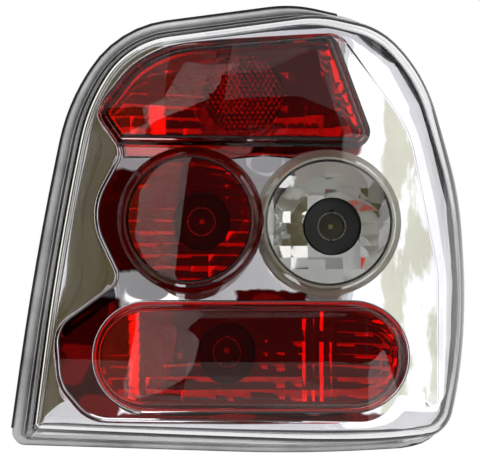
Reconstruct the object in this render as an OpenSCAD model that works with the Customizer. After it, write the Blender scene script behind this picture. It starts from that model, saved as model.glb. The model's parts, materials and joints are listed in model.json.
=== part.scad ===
// Right-hand rear lamp cluster with a clear wrap-round lens over red and clear inner lenses.
// Millimetres. X points outboard, Z up, and the lens looks along -Y.
// The origin is on the mounting face of the rear gasket, behind the middle of the lamp.

/* [Overall size] */
// Width of the lamp over its rim
lamp_w = 261; // [252:0.5:280]
// Height of the lamp over its rim
lamp_h = 254.4; // [250:0.2:270]
// Distance from the mounting face to the front of the clear lens
front_y = 62; // [60:0.5:70]

/* [Clear lens] */
// Wall of the clear lens
lens_wall = 3; // [2:0.1:3.2]
// Radius of the rounded edge between the face and the wall
lens_edge_r = 6; // [4:0.5:8]
// Radius of the bend round the body corner
wrap_r = 69; // [68.5:0.5:90]
// Where the bend starts, outboard of the middle
wrap_x = 64; // [55:1:65]
// How far the lens foot sits down in its groove
foot_depth = 6; // [4:0.5:7]

/* [Rear housing] */
// Wall of the rear housing
shell_wall = 2.5; // [2:0.1:3]
// Depth of the joint ahead of the mounting face at the inboard edge
joint_left_y = 22; // [20:0.5:26]
// Depth of the joint ahead of the mounting face where the body corner begins
joint_right_y = 14; // [13:0.5:18]
// How far the joint goes behind the mounting face round the corner
joint_back_y = 18; // [10:0.5:22]
// Gap on each side of the lens foot in its groove
groove_gap = 0.4; // [0.3:0.05:0.5]
// Wall outside the groove
groove_wall = 1.8; // [1.4:0.1:2]
// Wall inside the groove, on which the bezel stands
ledge_w = 2; // [1.6:0.1:2.4]
// Depth of the bucket behind the mounting face
bucket_y = 22.5; // [20:0.5:26]
// Front of the tray floor, ahead of the mounting face
tray_y = 6; // [5.5:0.25:7.5]

/* [Seals] */
// Width of the rubber edge strip
seal_w = 1.2; // [1:0.1:1.8]
// Width of the foam gasket
gasket_w = 6; // [5:0.5:8]
// Thickness of the foam gasket between the bulb carrier and the housing
carrier_gasket_t = 2; // [1.5:0.25:3]

/* [Bezel] */
// Front of the bezel floor, ahead of the mounting face
floor_y = 26; // [25:0.5:28]
// Thickness of the bezel moulding
bezel_t = 2; // [1.6:0.1:2.4]
// Height of the inboard step above the bezel floor
step_h = 17; // [12:0.5:18]
// Height of the collar round the lower lamp
collar_h = 2.6; // [1.5:0.1:4]
// Width of the collar round the lower lamp
collar_w = 2.6; // [2:0.1:3]

/* [Inner lenses] */
// Wall of the inner lenses
cap_wall = 2.4; // [2:0.1:3]
// Height of the inner lenses above the bezel floor, without their crown
cap_h = 20; // [16:0.5:22]
// Radius of the foot of the round lenses
round_foot_r = 41.3; // [40:0.1:42]
// Radius of the face of the round lenses
round_face_r = 36.3; // [34:0.1:37]
// Crown of the faces
cap_crown = 2.5; // [1:0.1:4]
// Radius of the retro-reflector
reflex_r = 22.4; // [18:0.2:24]
// Thickness of the retro-reflector
reflex_t = 3.2; // [2.4:0.1:5]

/* [Lamp places] */
// Stop lamp, place across
stop_x = -28.6; // [-29:0.1:-28]
// Stop lamp, height
stop_z = 5.2; // [4:0.1:6]
// Reversing lamp, place across
reverse_x = 48.9; // [48:0.1:50]
// Reversing lamp, height
reverse_z = 3.4; // [2.5:0.1:4.5]
// Upper lamp and retro-reflector, place across
upper_x = 1.5; // [0:0.1:3]
// Upper lamp and retro-reflector, height
upper_z = 75; // [74:0.1:76]
// Lower lamp, height of its middle
lower_z = -72.4; // [-73:0.1:-72]

/* [Reflectors] */
// Radius of the round reflector mouths, inside
mouth_r = 35.4; // [34:0.1:35.8]
// Wall of the reflectors
reflector_t = 1.8; // [1.5:0.1:2]
// Depth of the reflector bowls
bowl_depth = 24; // [20:0.5:25]
// Radius of the bulb hole in each reflector
hole_r = 16.5; // [16:0.1:17]
// Width of one reflector facet
facet = 9; // [8:0.5:12]

/* [Bulb carrier] */
// Thickness of the carrier plate
carrier_t = 3; // [2.5:0.25:4]
// Radius of the socket towers
tower_r = 15.4; // [14.5:0.1:15.6]
// Bore of the bayonet sockets
socket_d = 15.2; // [15:0.05:15.4]
// Wall of the socket sleeves
sleeve_t = 0.6; // [0.4:0.05:0.8]
// Length of the socket sleeves
sleeve_l = 22; // [18:0.5:24]
// Number of connector blades
blades = 5; // [5]
// Pitch of the connector blades
blade_pitch = 6.5; // [6:0.1:7]

/* [Fasteners] */
// Diameter of the mounting studs
stud_d = 6; // [5:0.5:8]
// Length of the studs behind the mounting face
stud_l = 22; // [15:1:30]
// Diameter of the bezel screws
screw_d = 4; // [3.5:0.1:4.2]

/* [Hidden] */
$fn = 64;

// Corners of the lamp's outline as [x, z, fillet radius], clockwise from the lower inboard one
left = -lamp_w / 2;
right = lamp_w / 2;
top = lamp_h / 2;
bottom = -lamp_h / 2;
rim_corners = [
    [left - 1.5, bottom + 4.2, 8], [left + 13, -20, 1900], [left + 31.5, top - 56.7, 116],
    [left + 60, top - 12.2, 61], [29.5, top + 1.3, 76], [right - 58.5, top - 8.2, 56],
    [right - 27, top - 38.2, 100], [right - 4, 17, 190], [right + 3, bottom + 65.7, 250],
    [right - 12.5, bottom + 2.7, 25], [37, bottom - 1.8, 900]];

// Distance from the rim to the lens foot along each side, from the first corner on
rim_gap = groove_gap + groove_wall;
foot_gaps = [8.5, 7.8, 7, 7, 4, rim_gap, rim_gap, rim_gap, rim_gap, 6, 6];
// How far the lens wall leans in between its foot and its face, or out where it hides the housing's rim
wall_leans = [4.5, 4.5, 4, 3.5, 1.5, -1, -1.5, -1.5, -1, 1.5, 4];
// The strip of rubber follows the inboard and upper sides only
seal_gaps = [seal_w, seal_w, seal_w, seal_w, seal_w, 0.3, 0.3, 0.3, 0.3, 0, 0];

// Corners of the bezel's lower level, with the waved inboard edge
wave_corners = [
    [left + 45.2, bottom + 18.6, 24], [left + 28, bottom + 39, 24], [left + 25.1, bottom + 71.3, 18],
    [left + 62.5, bottom + 98.3, 8.5], [left + 44.6, top - 118.4, 34], [left + 63.2, top - 84.1, 9],
    [left + 47.9, top - 61.6, 9], [left + 69, top - 35.4, 45], [left + 90.7, top - 23.5, 60],
    [right - 74.3, top - 16, 14], [right - 35.1, top - 71.5, 60], [right - 19.2, bottom + 102.3, 70],
    [right - 19.2, bottom + 22.8, 3], [right - 27.1, bottom + 29.8, 9],
    [right - 41, bottom + 32.3, 2.5], [right - 50, bottom + 16.6, 22]];
// How far each corner of the wave leans round the lamp on its way out to the lens foot, in degrees
wave_turns = [0, 1.3, -0.7, -7.2, 0.3, 4.8, 0.6, 0.4, 0.3, -0.1, -2, -0.1, 2.7, -3.4, -3.5, 0.2];
function bearing(p) = atan2(p[1], p[0]);
// Bearings fall steadily from the first corner on
wave_bearings = [for (i = [0:len(wave_corners) - 1]) let (a = bearing(wave_corners[i]))
    (a > bearing(wave_corners[0]) ? a - 360 : a) + wave_turns[i]];
upper_corners = [
    [left + 62, top - 79.7, 3], [left + 49.3, top - 61.4, 8], [left + 69.7, top - 36.4, 44],
    [left + 91, top - 24.6, 59], [right - 77.3, top - 17.2, 9], [right - 53.5, top - 81.6, 9]];
lower_half_h = 32;
lower_left = left + 46.3;
lower_right = right - 35.2;
lower_corners = [
    [lower_left, lower_z - lower_half_h, lower_half_h], [lower_left, lower_z + lower_half_h, lower_half_h],
    [lower_right, lower_z + lower_half_h, lower_half_h],
    [lower_right, lower_z - lower_half_h, lower_half_h]];
bucket_corners = [
    [left + 42.5, bottom + 21.2, 12], [left + 54.5, top - 73.2, 25], [left + 80.5, top - 28.2, 24],
    [right - 76.5, top - 23.7, 24], [right - 46.5, top - 65.2, 22], [right - 46.5, bottom + 21.2, 12]];
carrier_corners = [
    [-32, -99, 16], [-54, -20, 26], [-34, 70, 22], [-14, 99, 16], [24, 99, 16], [78, 44, 22],
    [80, -20, 22], [30, -99, 16]];

// Bulb places behind the four lamps
upper_bulb = [upper_x, upper_z];
stop_bulb = [stop_x + 5.5, stop_z - 1];
reverse_bulb = [reverse_x + 4.1, reverse_z - 2];
lower_bulb = [-8, lower_z];

// Geometry of rounded outlines
function unit(v) = v / norm(v);
function wrap_i(i, n) = (i + n) % n;
function side_shift(p, q, d) = let (u = unit([q[0] - p[0], q[1] - p[1]])) [u[1] * d, -u[0] * d];
function meet(p, u, q, v) = let (k = ((q[0] - p[0]) * v[1] - (q[1] - p[1]) * v[0]) / (u[0] * v[1] - u[1] * v[0]))
    [p[0] + u[0] * k, p[1] + u[1] * k];
// Moves each side of a clockwise outline inward by its own distance
function inset(c, d, more = 0) = let (n = len(c)) [for (i = [0:n - 1])
    let (a = c[wrap_i(i - 1, n)], b = c[i], e = c[wrap_i(i + 1, n)],
        da = d[wrap_i(i - 1, n)] + more, db = d[i] + more,
        sa = side_shift(a, b, da), sb = side_shift(b, e, db),
        p = meet([a[0] + sa[0], a[1] + sa[1]], [b[0] - a[0], b[1] - a[1]],
            [b[0] + sb[0], b[1] + sb[1]], [e[0] - b[0], e[1] - b[1]]),
        turn = (b[0] - a[0]) * (e[1] - b[1]) - (b[1] - a[1]) * (e[0] - b[0]),
        r = turn < 0 ? b[2] - max(da, db) : b[2] + min(da, db))
    [p[0], p[1], max(1.2, r)]];
function even(c, d) = [for (i = c) d];
function shrink(c, d) = inset(c, even(c, 0), d);
function flat(p) = [p[0], p[1]];
function half_angle(a, p, b) = acos(max(-1, min(1, unit(flat(a) - flat(p)) * unit(flat(b) - flat(p))))) / 2;
// Fillet radii, made smaller where two fillets would meet on a short side
function safe_radii(c) = let (n = len(c),
        reach = [for (i = [0:n - 1])
            c[i][2] / tan(half_angle(c[wrap_i(i - 1, n)], c[i], c[wrap_i(i + 1, n)]))],
        room = [for (i = [0:n - 1]) let (j = wrap_i(i + 1, n))
            0.99 * norm(flat(c[j]) - flat(c[i])) / (reach[i] + reach[j])])
    [for (i = [0:n - 1]) c[i][2] * min(1, room[i], room[wrap_i(i - 1, n)])];
// Points of the fillet of radius r at one corner
function fillet(a, p, b, r, k) = let (u = unit(flat(a) - flat(p)), v = unit(flat(b) - flat(p)),
        half = half_angle(a, p, b), cen = flat(p) + unit(u + v) * r / sin(half),
        from = flat(p) + u * r / tan(half) - cen, to = flat(p) + v * r / tan(half) - cen,
        a0 = atan2(from[1], from[0]), a1 = atan2(to[1], to[0]), d = (a1 - a0 + 540) % 360 - 180)
    [for (i = [0:k]) cen + r * [cos(a0 + d * i / k), sin(a0 + d * i / k)]];
// The whole outline with k steps in each fillet and m points along each straight side
function outline(c, k = 6, m = 0) = let (n = len(c), r = safe_radii(c),
        arcs = [for (i = [0:n - 1]) fillet(c[wrap_i(i - 1, n)], c[i], c[wrap_i(i + 1, n)], r[i], k)])
    [for (i = [0:n - 1]) let (a = arcs[i], b = arcs[wrap_i(i + 1, n)])
        each concat(a, [for (j = [1:1:m]) a[k] + (b[0] - a[k]) * j / (m + 1)])];
// The point of an outline that lies at a bearing seen from the middle
function at_bearing(poly, angle) = let (n = len(poly), v = [cos(angle), sin(angle)], hits = [for (i = [0:n - 1])
        let (a = poly[i], b = poly[wrap_i(i + 1, n)], e = b - a, den = v[0] * e[1] - v[1] * e[0],
            k = den == 0 ? -1 : (a[0] * e[1] - a[1] * e[0]) / den,
            t = den == 0 ? -1 : (a[0] * v[1] - a[1] * v[0]) / den)
        if (k > 0 && t >= -1e-9 && t <= 1 + 1e-9) v * k])
    hits[0];
function mix(a, b, t) = a + (b - a) * t;

// Depth of the joint between lens and housing, and of the clear lens's face
corner_x = right - 38.5;
corner_end_x = right - 6.5;
joint_tilt = (joint_left_y - joint_right_y) / (corner_x - left);
function joint_y(x) = x < corner_x ? -joint_left_y + joint_tilt * (x - left)
    : x > corner_end_x ? joint_back_y
    : mix(-joint_right_y, joint_back_y, (x - corner_x) / (corner_end_x - corner_x));
bow_x = 0.0005;
bow_z = 0.0006;
function wrap_y(x) = x > wrap_x ? wrap_r - sqrt(pow(wrap_r, 2) - pow(min(x, wrap_x + wrap_r - 1) - wrap_x, 2)) : 0;
function face_y(x, z) = -front_y + bow_x * x * x + bow_z * z * z + wrap_y(x);

// One skin over a row of rings, closed at both ends on a middle point
module skin(rings, tip_a, tip_b) {
    n = len(rings[0]);
    m = len(rings);
    a = n * m;
    polyhedron(points = concat([for (r = rings) each r], [tip_a, tip_b]),
        faces = concat(
            [for (j = [0:m - 2], i = [0:n - 1]) let (k = wrap_i(i + 1, n)) each [
                [j * n + i, j * n + k, (j + 1) * n + i], [j * n + k, (j + 1) * n + k, (j + 1) * n + i]]],
            [for (i = [0:n - 1]) [a, wrap_i(i + 1, n), i]],
            [for (i = [0:n - 1]) [a + 1, (m - 1) * n + i, (m - 1) * n + wrap_i(i + 1, n)]]),
        convexity = 8);
}
// One skin over rings that close on themselves, such as a frame
module ring_skin(rings) {
    n = len(rings[0]);
    m = len(rings);
    polyhedron(points = [for (r = rings) each r],
        faces = [for (j = [0:m - 1], i = [0:n - 1])
            let (k = wrap_i(i + 1, n), p = j * n, q = wrap_i(j + 1, m) * n)
            each [[p + i, p + k, q + i], [p + k, q + k, q + i]]],
        convexity = 8);
}
// A flat outline in X and Z, drawn from depth y0 back to y1
module slab(y0, y1) {
    translate([0, y1, 0])
        rotate([90, 0, 0])
        linear_extrude(height = y1 - y0)
        children();
}
// A round bar along Y
module bar(p, r, y0, y1) {
    translate([p[0], y1, p[1]])
        rotate([90, 0, 0])
        cylinder(r = r, h = y1 - y0);
}
// A shape drawn in plan, in X and Y, that reaches over the whole height
module plan() {
    translate([0, 0, -lamp_h])
        linear_extrude(height = 2 * lamp_h)
        children();
}
// The joint's line in plan, and past both sides of the lamp
past = 20;
joint_steps = [[left - past, joint_y(left - past)], [corner_x, joint_y(corner_x)],
    [corner_end_x, joint_y(corner_end_x + 1)], [right + past, joint_y(right + past)]];
// The band between two depths that follow the joint, for cutting the housing's rim
module joint_band(y0, y1) {
    n = len(joint_steps);
    plan() polygon(concat([for (p = joint_steps) [p[0], p[1] + y0]],
        [for (i = [n - 1:-1:0]) [joint_steps[i][0], joint_steps[i][1] + y1]]));
}

// Outlines that several pieces share
foot_corners = inset(rim_corners, foot_gaps);
rim_line = outline(rim_corners);
flange_line = outline(inset(rim_corners, seal_gaps));
function foot_line(d) = outline(shrink(foot_corners, d));
ledge_in = lens_wall + groove_gap;

// Rear housing
channel_top = 0.5;
channel_back = 9;
flange_front = 2;
flange_back = 5;
tray_inset = 3;
far_front = 10;
wing_x = right - 34;
wing_y = 26;
bulb_holes = [upper_bulb, stop_bulb, reverse_bulb, lower_bulb];
hole_gap = 0.5;
screw_gap = 0.2;
screw_bite = 0.3;
screw_l = 14;
screw_places = [
    [left + 68.5, top - 85.2], [left + 68.5, bottom + 94.2], [right - 42.5, top - 85.2],
    [right - 42.5, bottom + 91.2]];
stud_places = [
    [left + 26.5, bottom + 29.2], [left + 48.1, top - 97.2], [right - 42.3, bottom + 112.2]];
stud_gap = 0.1;
stud_neck_r = stud_d / 2 + 0.5;
stud_room_r = stud_neck_r + 1.1;
stud_head_r = 5;
stud_head_t = 3.5;
vent_places = [
    [right - 80.5, top - 35.2], [left + 64.5, bottom + 39.2]];
vent_r = 2;
peg_place = [left + 38, -30];
peg_r = 3.6;
peg_l = 9;
// Plan from a line behind the joint down to the tray floor and the outboard wing's floor
module tray_plan(d, front) {
    plan() polygon(concat([for (p = joint_steps) [p[0], p[1] + front]],
        [[right + past, wing_y + d], [wing_x - d, wing_y + d], [wing_x - d, -tray_y + d],
            [left - past, -tray_y + d]]));
}
// The bend of the tray floor into the wing
module tray_bend() {
    start_x = corner_x - 8;
    plan() polygon([[start_x, -tray_y], [wing_x, -tray_y], [wing_x, wing_y + shell_wall],
        [wing_x - shell_wall, wing_y + shell_wall], [wing_x - shell_wall, -tray_y + shell_wall],
        [start_x, -tray_y + shell_wall]]);
}
module bucket_outline(d) {
    polygon(outline(shrink(bucket_corners, d)));
}
module housing() {
    color([0.23, 0.23, 0.24])
    difference() {
        union() {
            difference() {
                intersection() {
                    slab(-front_y, front_y) polygon(foot_line(-rim_gap));
                    joint_band(-channel_top, channel_back);
                }
                slab(-front_y - past, front_y + past) polygon(foot_line(ledge_in + ledge_w));
                intersection() {
                    slab(-front_y - past, front_y + past) difference() {
                        polygon(foot_line(-groove_gap));
                        polygon(foot_line(ledge_in));
                    }
                    joint_band(-past, foot_depth + 1);
                }
            }
            intersection() {
                slab(-front_y, front_y) difference() {
                    polygon(flange_line);
                    polygon(foot_line(-groove_gap - groove_wall / 2));
                }
                joint_band(flange_front, flange_back);
            }
            difference() {
                union() {
                    intersection() {
                        slab(-front_y, front_y) polygon(foot_line(tray_inset));
                        tray_plan(shell_wall, channel_back - 1);
                    }
                    intersection() {
                        slab(-front_y, front_y) polygon(foot_line(ledge_in));
                        tray_bend();
                    }
                }
                intersection() {
                    slab(-front_y - past, front_y + past) polygon(foot_line(tray_inset + shell_wall));
                    tray_plan(0, -far_front);
                }
                slab(-tray_y - 5, 5) bucket_outline(shell_wall);
            }
            difference() {
                slab(-tray_y, bucket_y) bucket_outline(0);
                slab(-tray_y - 1, bucket_y - shell_wall) bucket_outline(shell_wall);
            }
            bar(peg_place, peg_r, -tray_y + shell_wall / 2, peg_l);
            for (p = [screw_places[2], screw_places[3]])
                bar(p, screw_d, -tray_y - 2, -tray_y + shell_wall / 2);
        }
        for (p = bulb_holes)
            bar(p, hole_r + hole_gap, 0, bucket_y + past);
        for (p = stud_places)
            bar(p, stud_neck_r + stud_gap, -past, past);
        for (p = screw_places)
            bar(p, screw_d / 2 + screw_gap, -past, bucket_y + past);
        for (p = vent_places)
            bar(p, vent_r, 0, bucket_y + past);
    }
}

// Seals
module body_gasket() {
    edge = 5.5;
    color([0.08, 0.08, 0.08])
    difference() {
        slab(-tray_y + shell_wall, 0) difference() {
            intersection() {
                polygon(foot_line(edge));
                translate([left, bottom]) square([wing_x - shell_wall - left - 0.3, lamp_h]);
            }
            intersection() {
                polygon(foot_line(edge + gasket_w));
                translate([left, bottom]) square([wing_x - shell_wall - left - 0.3 - gasket_w / 3, lamp_h]);
            }
        }
        for (p = stud_places)
            bar(p, stud_room_r, -past, past);
    }
}
module edge_seal() {
    seal_low_z = bottom + 14;
    seal_end_x = right - 75.5;
    seal_end_z = top - 67;
    seal_front = 1.5;
    color([0.05, 0.05, 0.05])
    intersection() {
        slab(-front_y, front_y) difference() {
            intersection() {
                polygon(rim_line);
                polygon([[left - past, seal_low_z], [0, seal_low_z], [0, seal_end_z], [seal_end_x, seal_end_z],
                    [seal_end_x, top + past], [left - past, top + past]]);
            }
            polygon(flange_line);
        }
        joint_band(-seal_front, flange_back + 1);
    }
}
module lens_sealant() {
    color([0.12, 0.12, 0.12])
    intersection() {
        slab(-front_y - past, front_y + past) difference() {
            polygon(foot_line(-groove_gap));
            polygon(foot_line(ledge_in));
        }
        joint_band(foot_depth, foot_depth + 1);
    }
}

// Clear lens
lens_k = 4;
lens_m = 3;
function lens_ring(corners, up, add) = [for (p = outline(corners, lens_k, lens_m)) [p[0], up * face_y(p[0], p[1])
    + (1 - up) * joint_y(p[0]) + add, p[1]]];
function face_ring(line, s, add) = [for (p = line) [p[0] * s, face_y(p[0] * s, p[1] * s) + add, p[1] * s]];
// Rings of one surface of the lens, from the foot to the middle of the face
function lens_rings(thick) = let (
        foot = shrink(foot_corners, thick),
        lean = inset(foot_corners, wall_leans, thick),
        r = lens_edge_r - thick / 2,
        brow = outline(shrink(lean, r), lens_k, lens_m))
    concat([lens_ring(foot, 0, foot_depth + 5), lens_ring(foot, 0, -1)],
        [for (q = [0, 30, 60]) let (c = shrink(lean, r * (1 - cos(q)))) lens_ring(c, 1, thick + r * (1 - sin(q)))],
        [for (s = [1, 0.86, 0.66, 0.44, 0.2]) face_ring(brow, s, thick)]);
module outer_lens() {
    outside = lens_rings(0);
    inside = lens_rings(lens_wall);
    n = len(outside);
    color([0.93, 0.95, 0.96, 0.35])
    difference() {
        skin(concat([for (i = [n - 1:-1:0]) outside[i]], inside), [0, face_y(0, 0), 0],
            [0, face_y(0, 0) + lens_wall, 0]);
        joint_band(foot_depth, foot_depth + past);
    }
}

// Bezel
// The step is full height at the inboard side and fades out towards the body corner
function fade(t) = let (c = max(0, min(1, t))) c * c * (3 - 2 * c);
function step_y(x) = -floor_y - 1 - (step_h - 1) * fade((75 - x) / 110);
bezel_gap = 0.3;
post_r = 4;
wave_k = 5;
// Shares of the waved edge that belong to the falling flank round the body corner
function flank(x) = fade((x - 70) / 10);
// The waved edge, moved outward by a where the step stands and inward by b along the flank
function wave_line(a, b) = let (o = outline(shrink(wave_corners, -a), wave_k, 1),
        i = outline(shrink(wave_corners, b), wave_k, 1))
    [for (j = [0:len(o) - 1]) mix(o[j], i[j], flank(o[j][0]))];
// Bearing for one point of the waved edge, shared out along the side it belongs to
function edge_bearing(p, i) = let (n = len(wave_corners), per = wave_k + 2, c = floor(i / per),
        a = i - c * per > wave_k / 2 ? c : wrap_i(c - 1, n), b = wrap_i(a + 1, n),
        e = flat(wave_corners[b]) - flat(wave_corners[a]),
        t = max(0, min(1, (p - flat(wave_corners[a])) * e / (e * e))))
    mix(wave_bearings[a], wave_bearings[b] - (b == 0 ? 360 : 0), t);
module bezel_frame() {
    wave = outline(wave_corners, wave_k, 1);
    n = len(wave);
    out = foot_line(ledge_in + bezel_gap);
    inn = foot_line(ledge_in + ledge_w);
    foot = [for (i = [0:n - 1]) at_bearing(out, edge_bearing(wave[i], i))];
    heel = [for (i = [0:n - 1]) at_bearing(inn, edge_bearing(wave[i], i))];
    back = wave_line(bezel_t, bezel_t);
    bulge = 5;
    lift = 3;
    sunk = 5;
    base_y = -floor_y + 0.8 * bezel_t;
    ring_skin([
        [for (p = foot) [p[0], joint_y(p[0]) + sunk, p[1]]],
        [for (p = foot) [p[0], joint_y(p[0]) - lift, p[1]]],
        [for (i = [0:n - 1]) let (p = mix(foot[i], wave[i], 0.3))
            [p[0], mix(joint_y(foot[i][0]) - lift, step_y(wave[i][0]), 0.45) - bulge * 0.7, p[1]]],
        [for (i = [0:n - 1]) let (p = mix(foot[i], wave[i], 0.65))
            [p[0], mix(joint_y(foot[i][0]) - lift, step_y(wave[i][0]), 0.78) - bulge * 0.5, p[1]]],
        [for (p = wave) [p[0], step_y(p[0]), p[1]]],
        [for (p = wave) [p[0], -floor_y + bezel_t / 2, p[1]]],
        [for (p = back) [p[0], base_y, p[1]]],
        [for (i = [0:n - 1]) [back[i][0], mix(mix(joint_y(foot[i][0]) - lift, step_y(wave[i][0]), 0.75),
            base_y + 1, fade((wave[i][0] - 48) / 12)), back[i][1]]],
        [for (i = [0:n - 1]) let (p = mix(heel[i], wave[i], 0.3))
            [p[0], mix(joint_y(heel[i][0]) - lift, step_y(wave[i][0]), 0.45) - bulge * 0.7 + bezel_t, p[1]]],
        [for (p = heel) [p[0], joint_y(p[0]) - lift / 2, p[1]]],
        [for (p = heel) [p[0], joint_y(p[0]) + sunk, p[1]]]]);
}
opening_land = 3.6;
module lamp_openings(d) {
    polygon(outline(shrink(upper_corners, opening_land + d)));
    polygon(outline(shrink(lower_corners, opening_land + d), 12));
    translate([stop_x, stop_z]) circle(r = mouth_r + 1 - d);
    translate([reverse_x, reverse_z]) circle(r = mouth_r + 1 - d);
}
module bezel() {
    color([0.86, 0.86, 0.87])
    union() {
        difference() {
            bezel_frame();
            joint_band(-channel_top, past);
        }
        difference() {
            slab(-floor_y, -floor_y + bezel_t) polygon(wave_line(bezel_t / 2, bezel_t / 3));
            slab(-floor_y - 5, -floor_y + 5) lamp_openings(0);
        }
        slab(-floor_y - collar_h, -floor_y + bezel_t / 2) difference() {
            polygon(outline(lower_corners, 12));
            polygon(outline(shrink(lower_corners, collar_w), 12));
        }
        for (i = [0, 1])
            difference() {
                bar(screw_places[i], post_r, -floor_y + bezel_t / 2, bucket_y - shell_wall);
                bar(screw_places[i], screw_d / 2 - screw_bite, 4, bucket_y + past);
            }
        for (i = [2, 3])
            difference() {
                bar(screw_places[i], post_r, -floor_y + bezel_t / 2, -tray_y - 2);
                bar(screw_places[i], screw_d / 2 - screw_bite, -past, 0);
            }
    }
}

// Inner lenses
face_y0 = -floor_y - cap_h;
cap_edge_r = 2;
crown_steps = 6;
module round_cap(r_foot) {
    inner_r = round_face_r - cap_wall;
    rotate_extrude($fn = 96)
        polygon(concat(
            [[mouth_r + 1, 0], [r_foot, 0], [r_foot, cap_wall], [r_foot - 1.6, cap_wall + 0.6],
                [round_face_r + 0.3, cap_h - cap_edge_r]],
            [for (a = [0:30:90]) [round_face_r - cap_edge_r * (1 - cos(a)), cap_h - cap_edge_r * (1 - sin(a))]],
            [for (i = [1:crown_steps]) let (t = i / crown_steps)
                [(round_face_r - cap_edge_r) * (1 - t), cap_h + cap_crown * (1 - pow(1 - t, 2))]],
            [for (i = [0:crown_steps]) let (t = 1 - i / crown_steps)
                [inner_r * (1 - t), cap_h - cap_wall + (cap_crown - 0.6) * (1 - pow(1 - t, 2))]],
            [[mouth_r + 0.4, cap_wall]]));
}
module on_floor(p) {
    translate([p[0], -floor_y, p[1]])
        rotate([90, 0, 0])
        children();
}
// A lens cap over any outline: foot flange, leaning wall, rounded edge and flat or crowned face
module shaped_cap(corners, leans, k) {
    n = len(corners);
    function ring(c, y) = [for (p = outline(c, k)) [p[0], y, p[1]]];
    mouth = shrink(corners, opening_land);
    wall = shrink(corners, 1.6);
    face = inset(corners, leans);
    brow = shrink(face, cap_edge_r);
    mid = outline(brow, k);
    cen = [for (j = [0, 1]) (max([for (p = mid) p[j]]) + min([for (p = mid) p[j]])) / 2];
    function crown(s) = face_y0 - cap_crown * (1 - s * s);
    function scaled(line, s, add) = [for (p = line)
        [cen[0] + (p[0] - cen[0]) * s, add, cen[1] + (p[1] - cen[1]) * s]];
    inner = shrink(face, cap_wall);
    skin(concat(
        [for (s = [0.3, 0.6, 0.85, 1]) scaled(mid, s, crown(s))],
        [ring(shrink(face, cap_edge_r * 0.3), face_y0 + cap_edge_r * 0.3), ring(face, face_y0 + cap_edge_r),
            ring(wall, -floor_y - cap_wall - 0.6), ring(corners, -floor_y - cap_wall), ring(corners, -floor_y),
            ring(mouth, -floor_y), ring(mouth, -floor_y - cap_wall), ring(inner, face_y0 + cap_wall)]),
        [cen[0], crown(0), cen[1]], [cen[0], face_y0 + cap_wall, cen[1]]);
}
upper_leans = [3, 3.5, 3, 2.5, 4.5, 3];
lower_leans = [1.5, 0.6, 3.5, 2.8];
lens_red = [0.62, 0.02, 0.02, 0.75];
module upper_lens() {
    color(lens_red) shaped_cap(upper_corners, upper_leans, 6);
}
module lower_lens() {
    color(lens_red) shaped_cap(shrink(lower_corners, collar_w + 0.3), lower_leans, 10);
}
module stop_lens() {
    color(lens_red) on_floor([stop_x, stop_z]) round_cap(round_foot_r);
}
// The clear cap gives way where the red one stands
module reverse_lens() {
    color([0.93, 0.94, 0.93, 0.5])
    difference() {
        on_floor([reverse_x, reverse_z]) round_cap(round_foot_r);
        bar([stop_x, stop_z], round_foot_r + 0.3, -floor_y - cap_h - 10, -floor_y + 1);
    }
}
// Retro-reflector with rows of small cube prisms behind its face
module reflex_disc() {
    prism = 3;
    depth = 1;
    y0 = face_y0 + cap_wall;
    color([0.6, 0.02, 0.02])
    difference() {
        bar(upper_bulb, reflex_r, y0, y0 + reflex_t);
        for (i = [-reflex_r:prism:reflex_r])
            translate([upper_bulb[0] + i, y0 + reflex_t, upper_bulb[1]])
            rotate([0, 0, 45])
            cube([depth, depth, 2 * reflex_r + 2], center = true);
    }
}

// Reflectors
rim_y = -10;
flat_rim = 0.85;
// Depth of a bowl at a point measured in shares of its half width and half height
function bowl_y(u) = rim_y + bowl_depth * (1 - min(1, pow(u / flat_rim, 2)));
module bowl_sheet(cen, half_w, half_h, thick) {
    nx = ceil(half_w / facet) * 2;
    nz = ceil(half_h / facet) * 2;
    over = 4;
    function gx(i) = (half_w + over) * (2 * i / nx - 1);
    function gz(j) = (half_h + over) * (2 * j / nz - 1);
    function deep(i, j) = bowl_y(norm([gx(i) / half_w, gz(j) / half_h]));
    m = nz + 1;
    count = (nx + 1) * m;
    function at(i, j, s) = s * count + i * m + j;
    polyhedron(points = [for (s = [0, 1], i = [0:nx], j = [0:nz])
            [cen[0] + gx(i), deep(i, j) + s * thick, cen[1] + gz(j)]],
        faces = concat(
            [for (i = [0:nx - 1], j = [0:nz - 1]) each [[at(i, j, 0), at(i, j + 1, 0), at(i + 1, j + 1, 0)],
                [at(i, j, 0), at(i + 1, j + 1, 0), at(i + 1, j, 0)]]],
            [for (i = [0:nx - 1], j = [0:nz - 1]) each [[at(i, j, 1), at(i + 1, j + 1, 1), at(i, j + 1, 1)],
                [at(i, j, 1), at(i + 1, j, 1), at(i + 1, j + 1, 1)]]],
            [for (i = [0:nx - 1]) [at(i, 0, 0), at(i + 1, 0, 0), at(i + 1, 0, 1), at(i, 0, 1)]],
            [for (i = [0:nx - 1]) [at(i + 1, nz, 0), at(i, nz, 0), at(i, nz, 1), at(i + 1, nz, 1)]],
            [for (j = [0:nz - 1]) [at(0, j + 1, 0), at(0, j, 0), at(0, j, 1), at(0, j + 1, 1)]],
            [for (j = [0:nz - 1]) [at(nx, j, 0), at(nx, j + 1, 0), at(nx, j + 1, 1), at(nx, j, 1)]]),
        convexity = 6);
}
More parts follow.
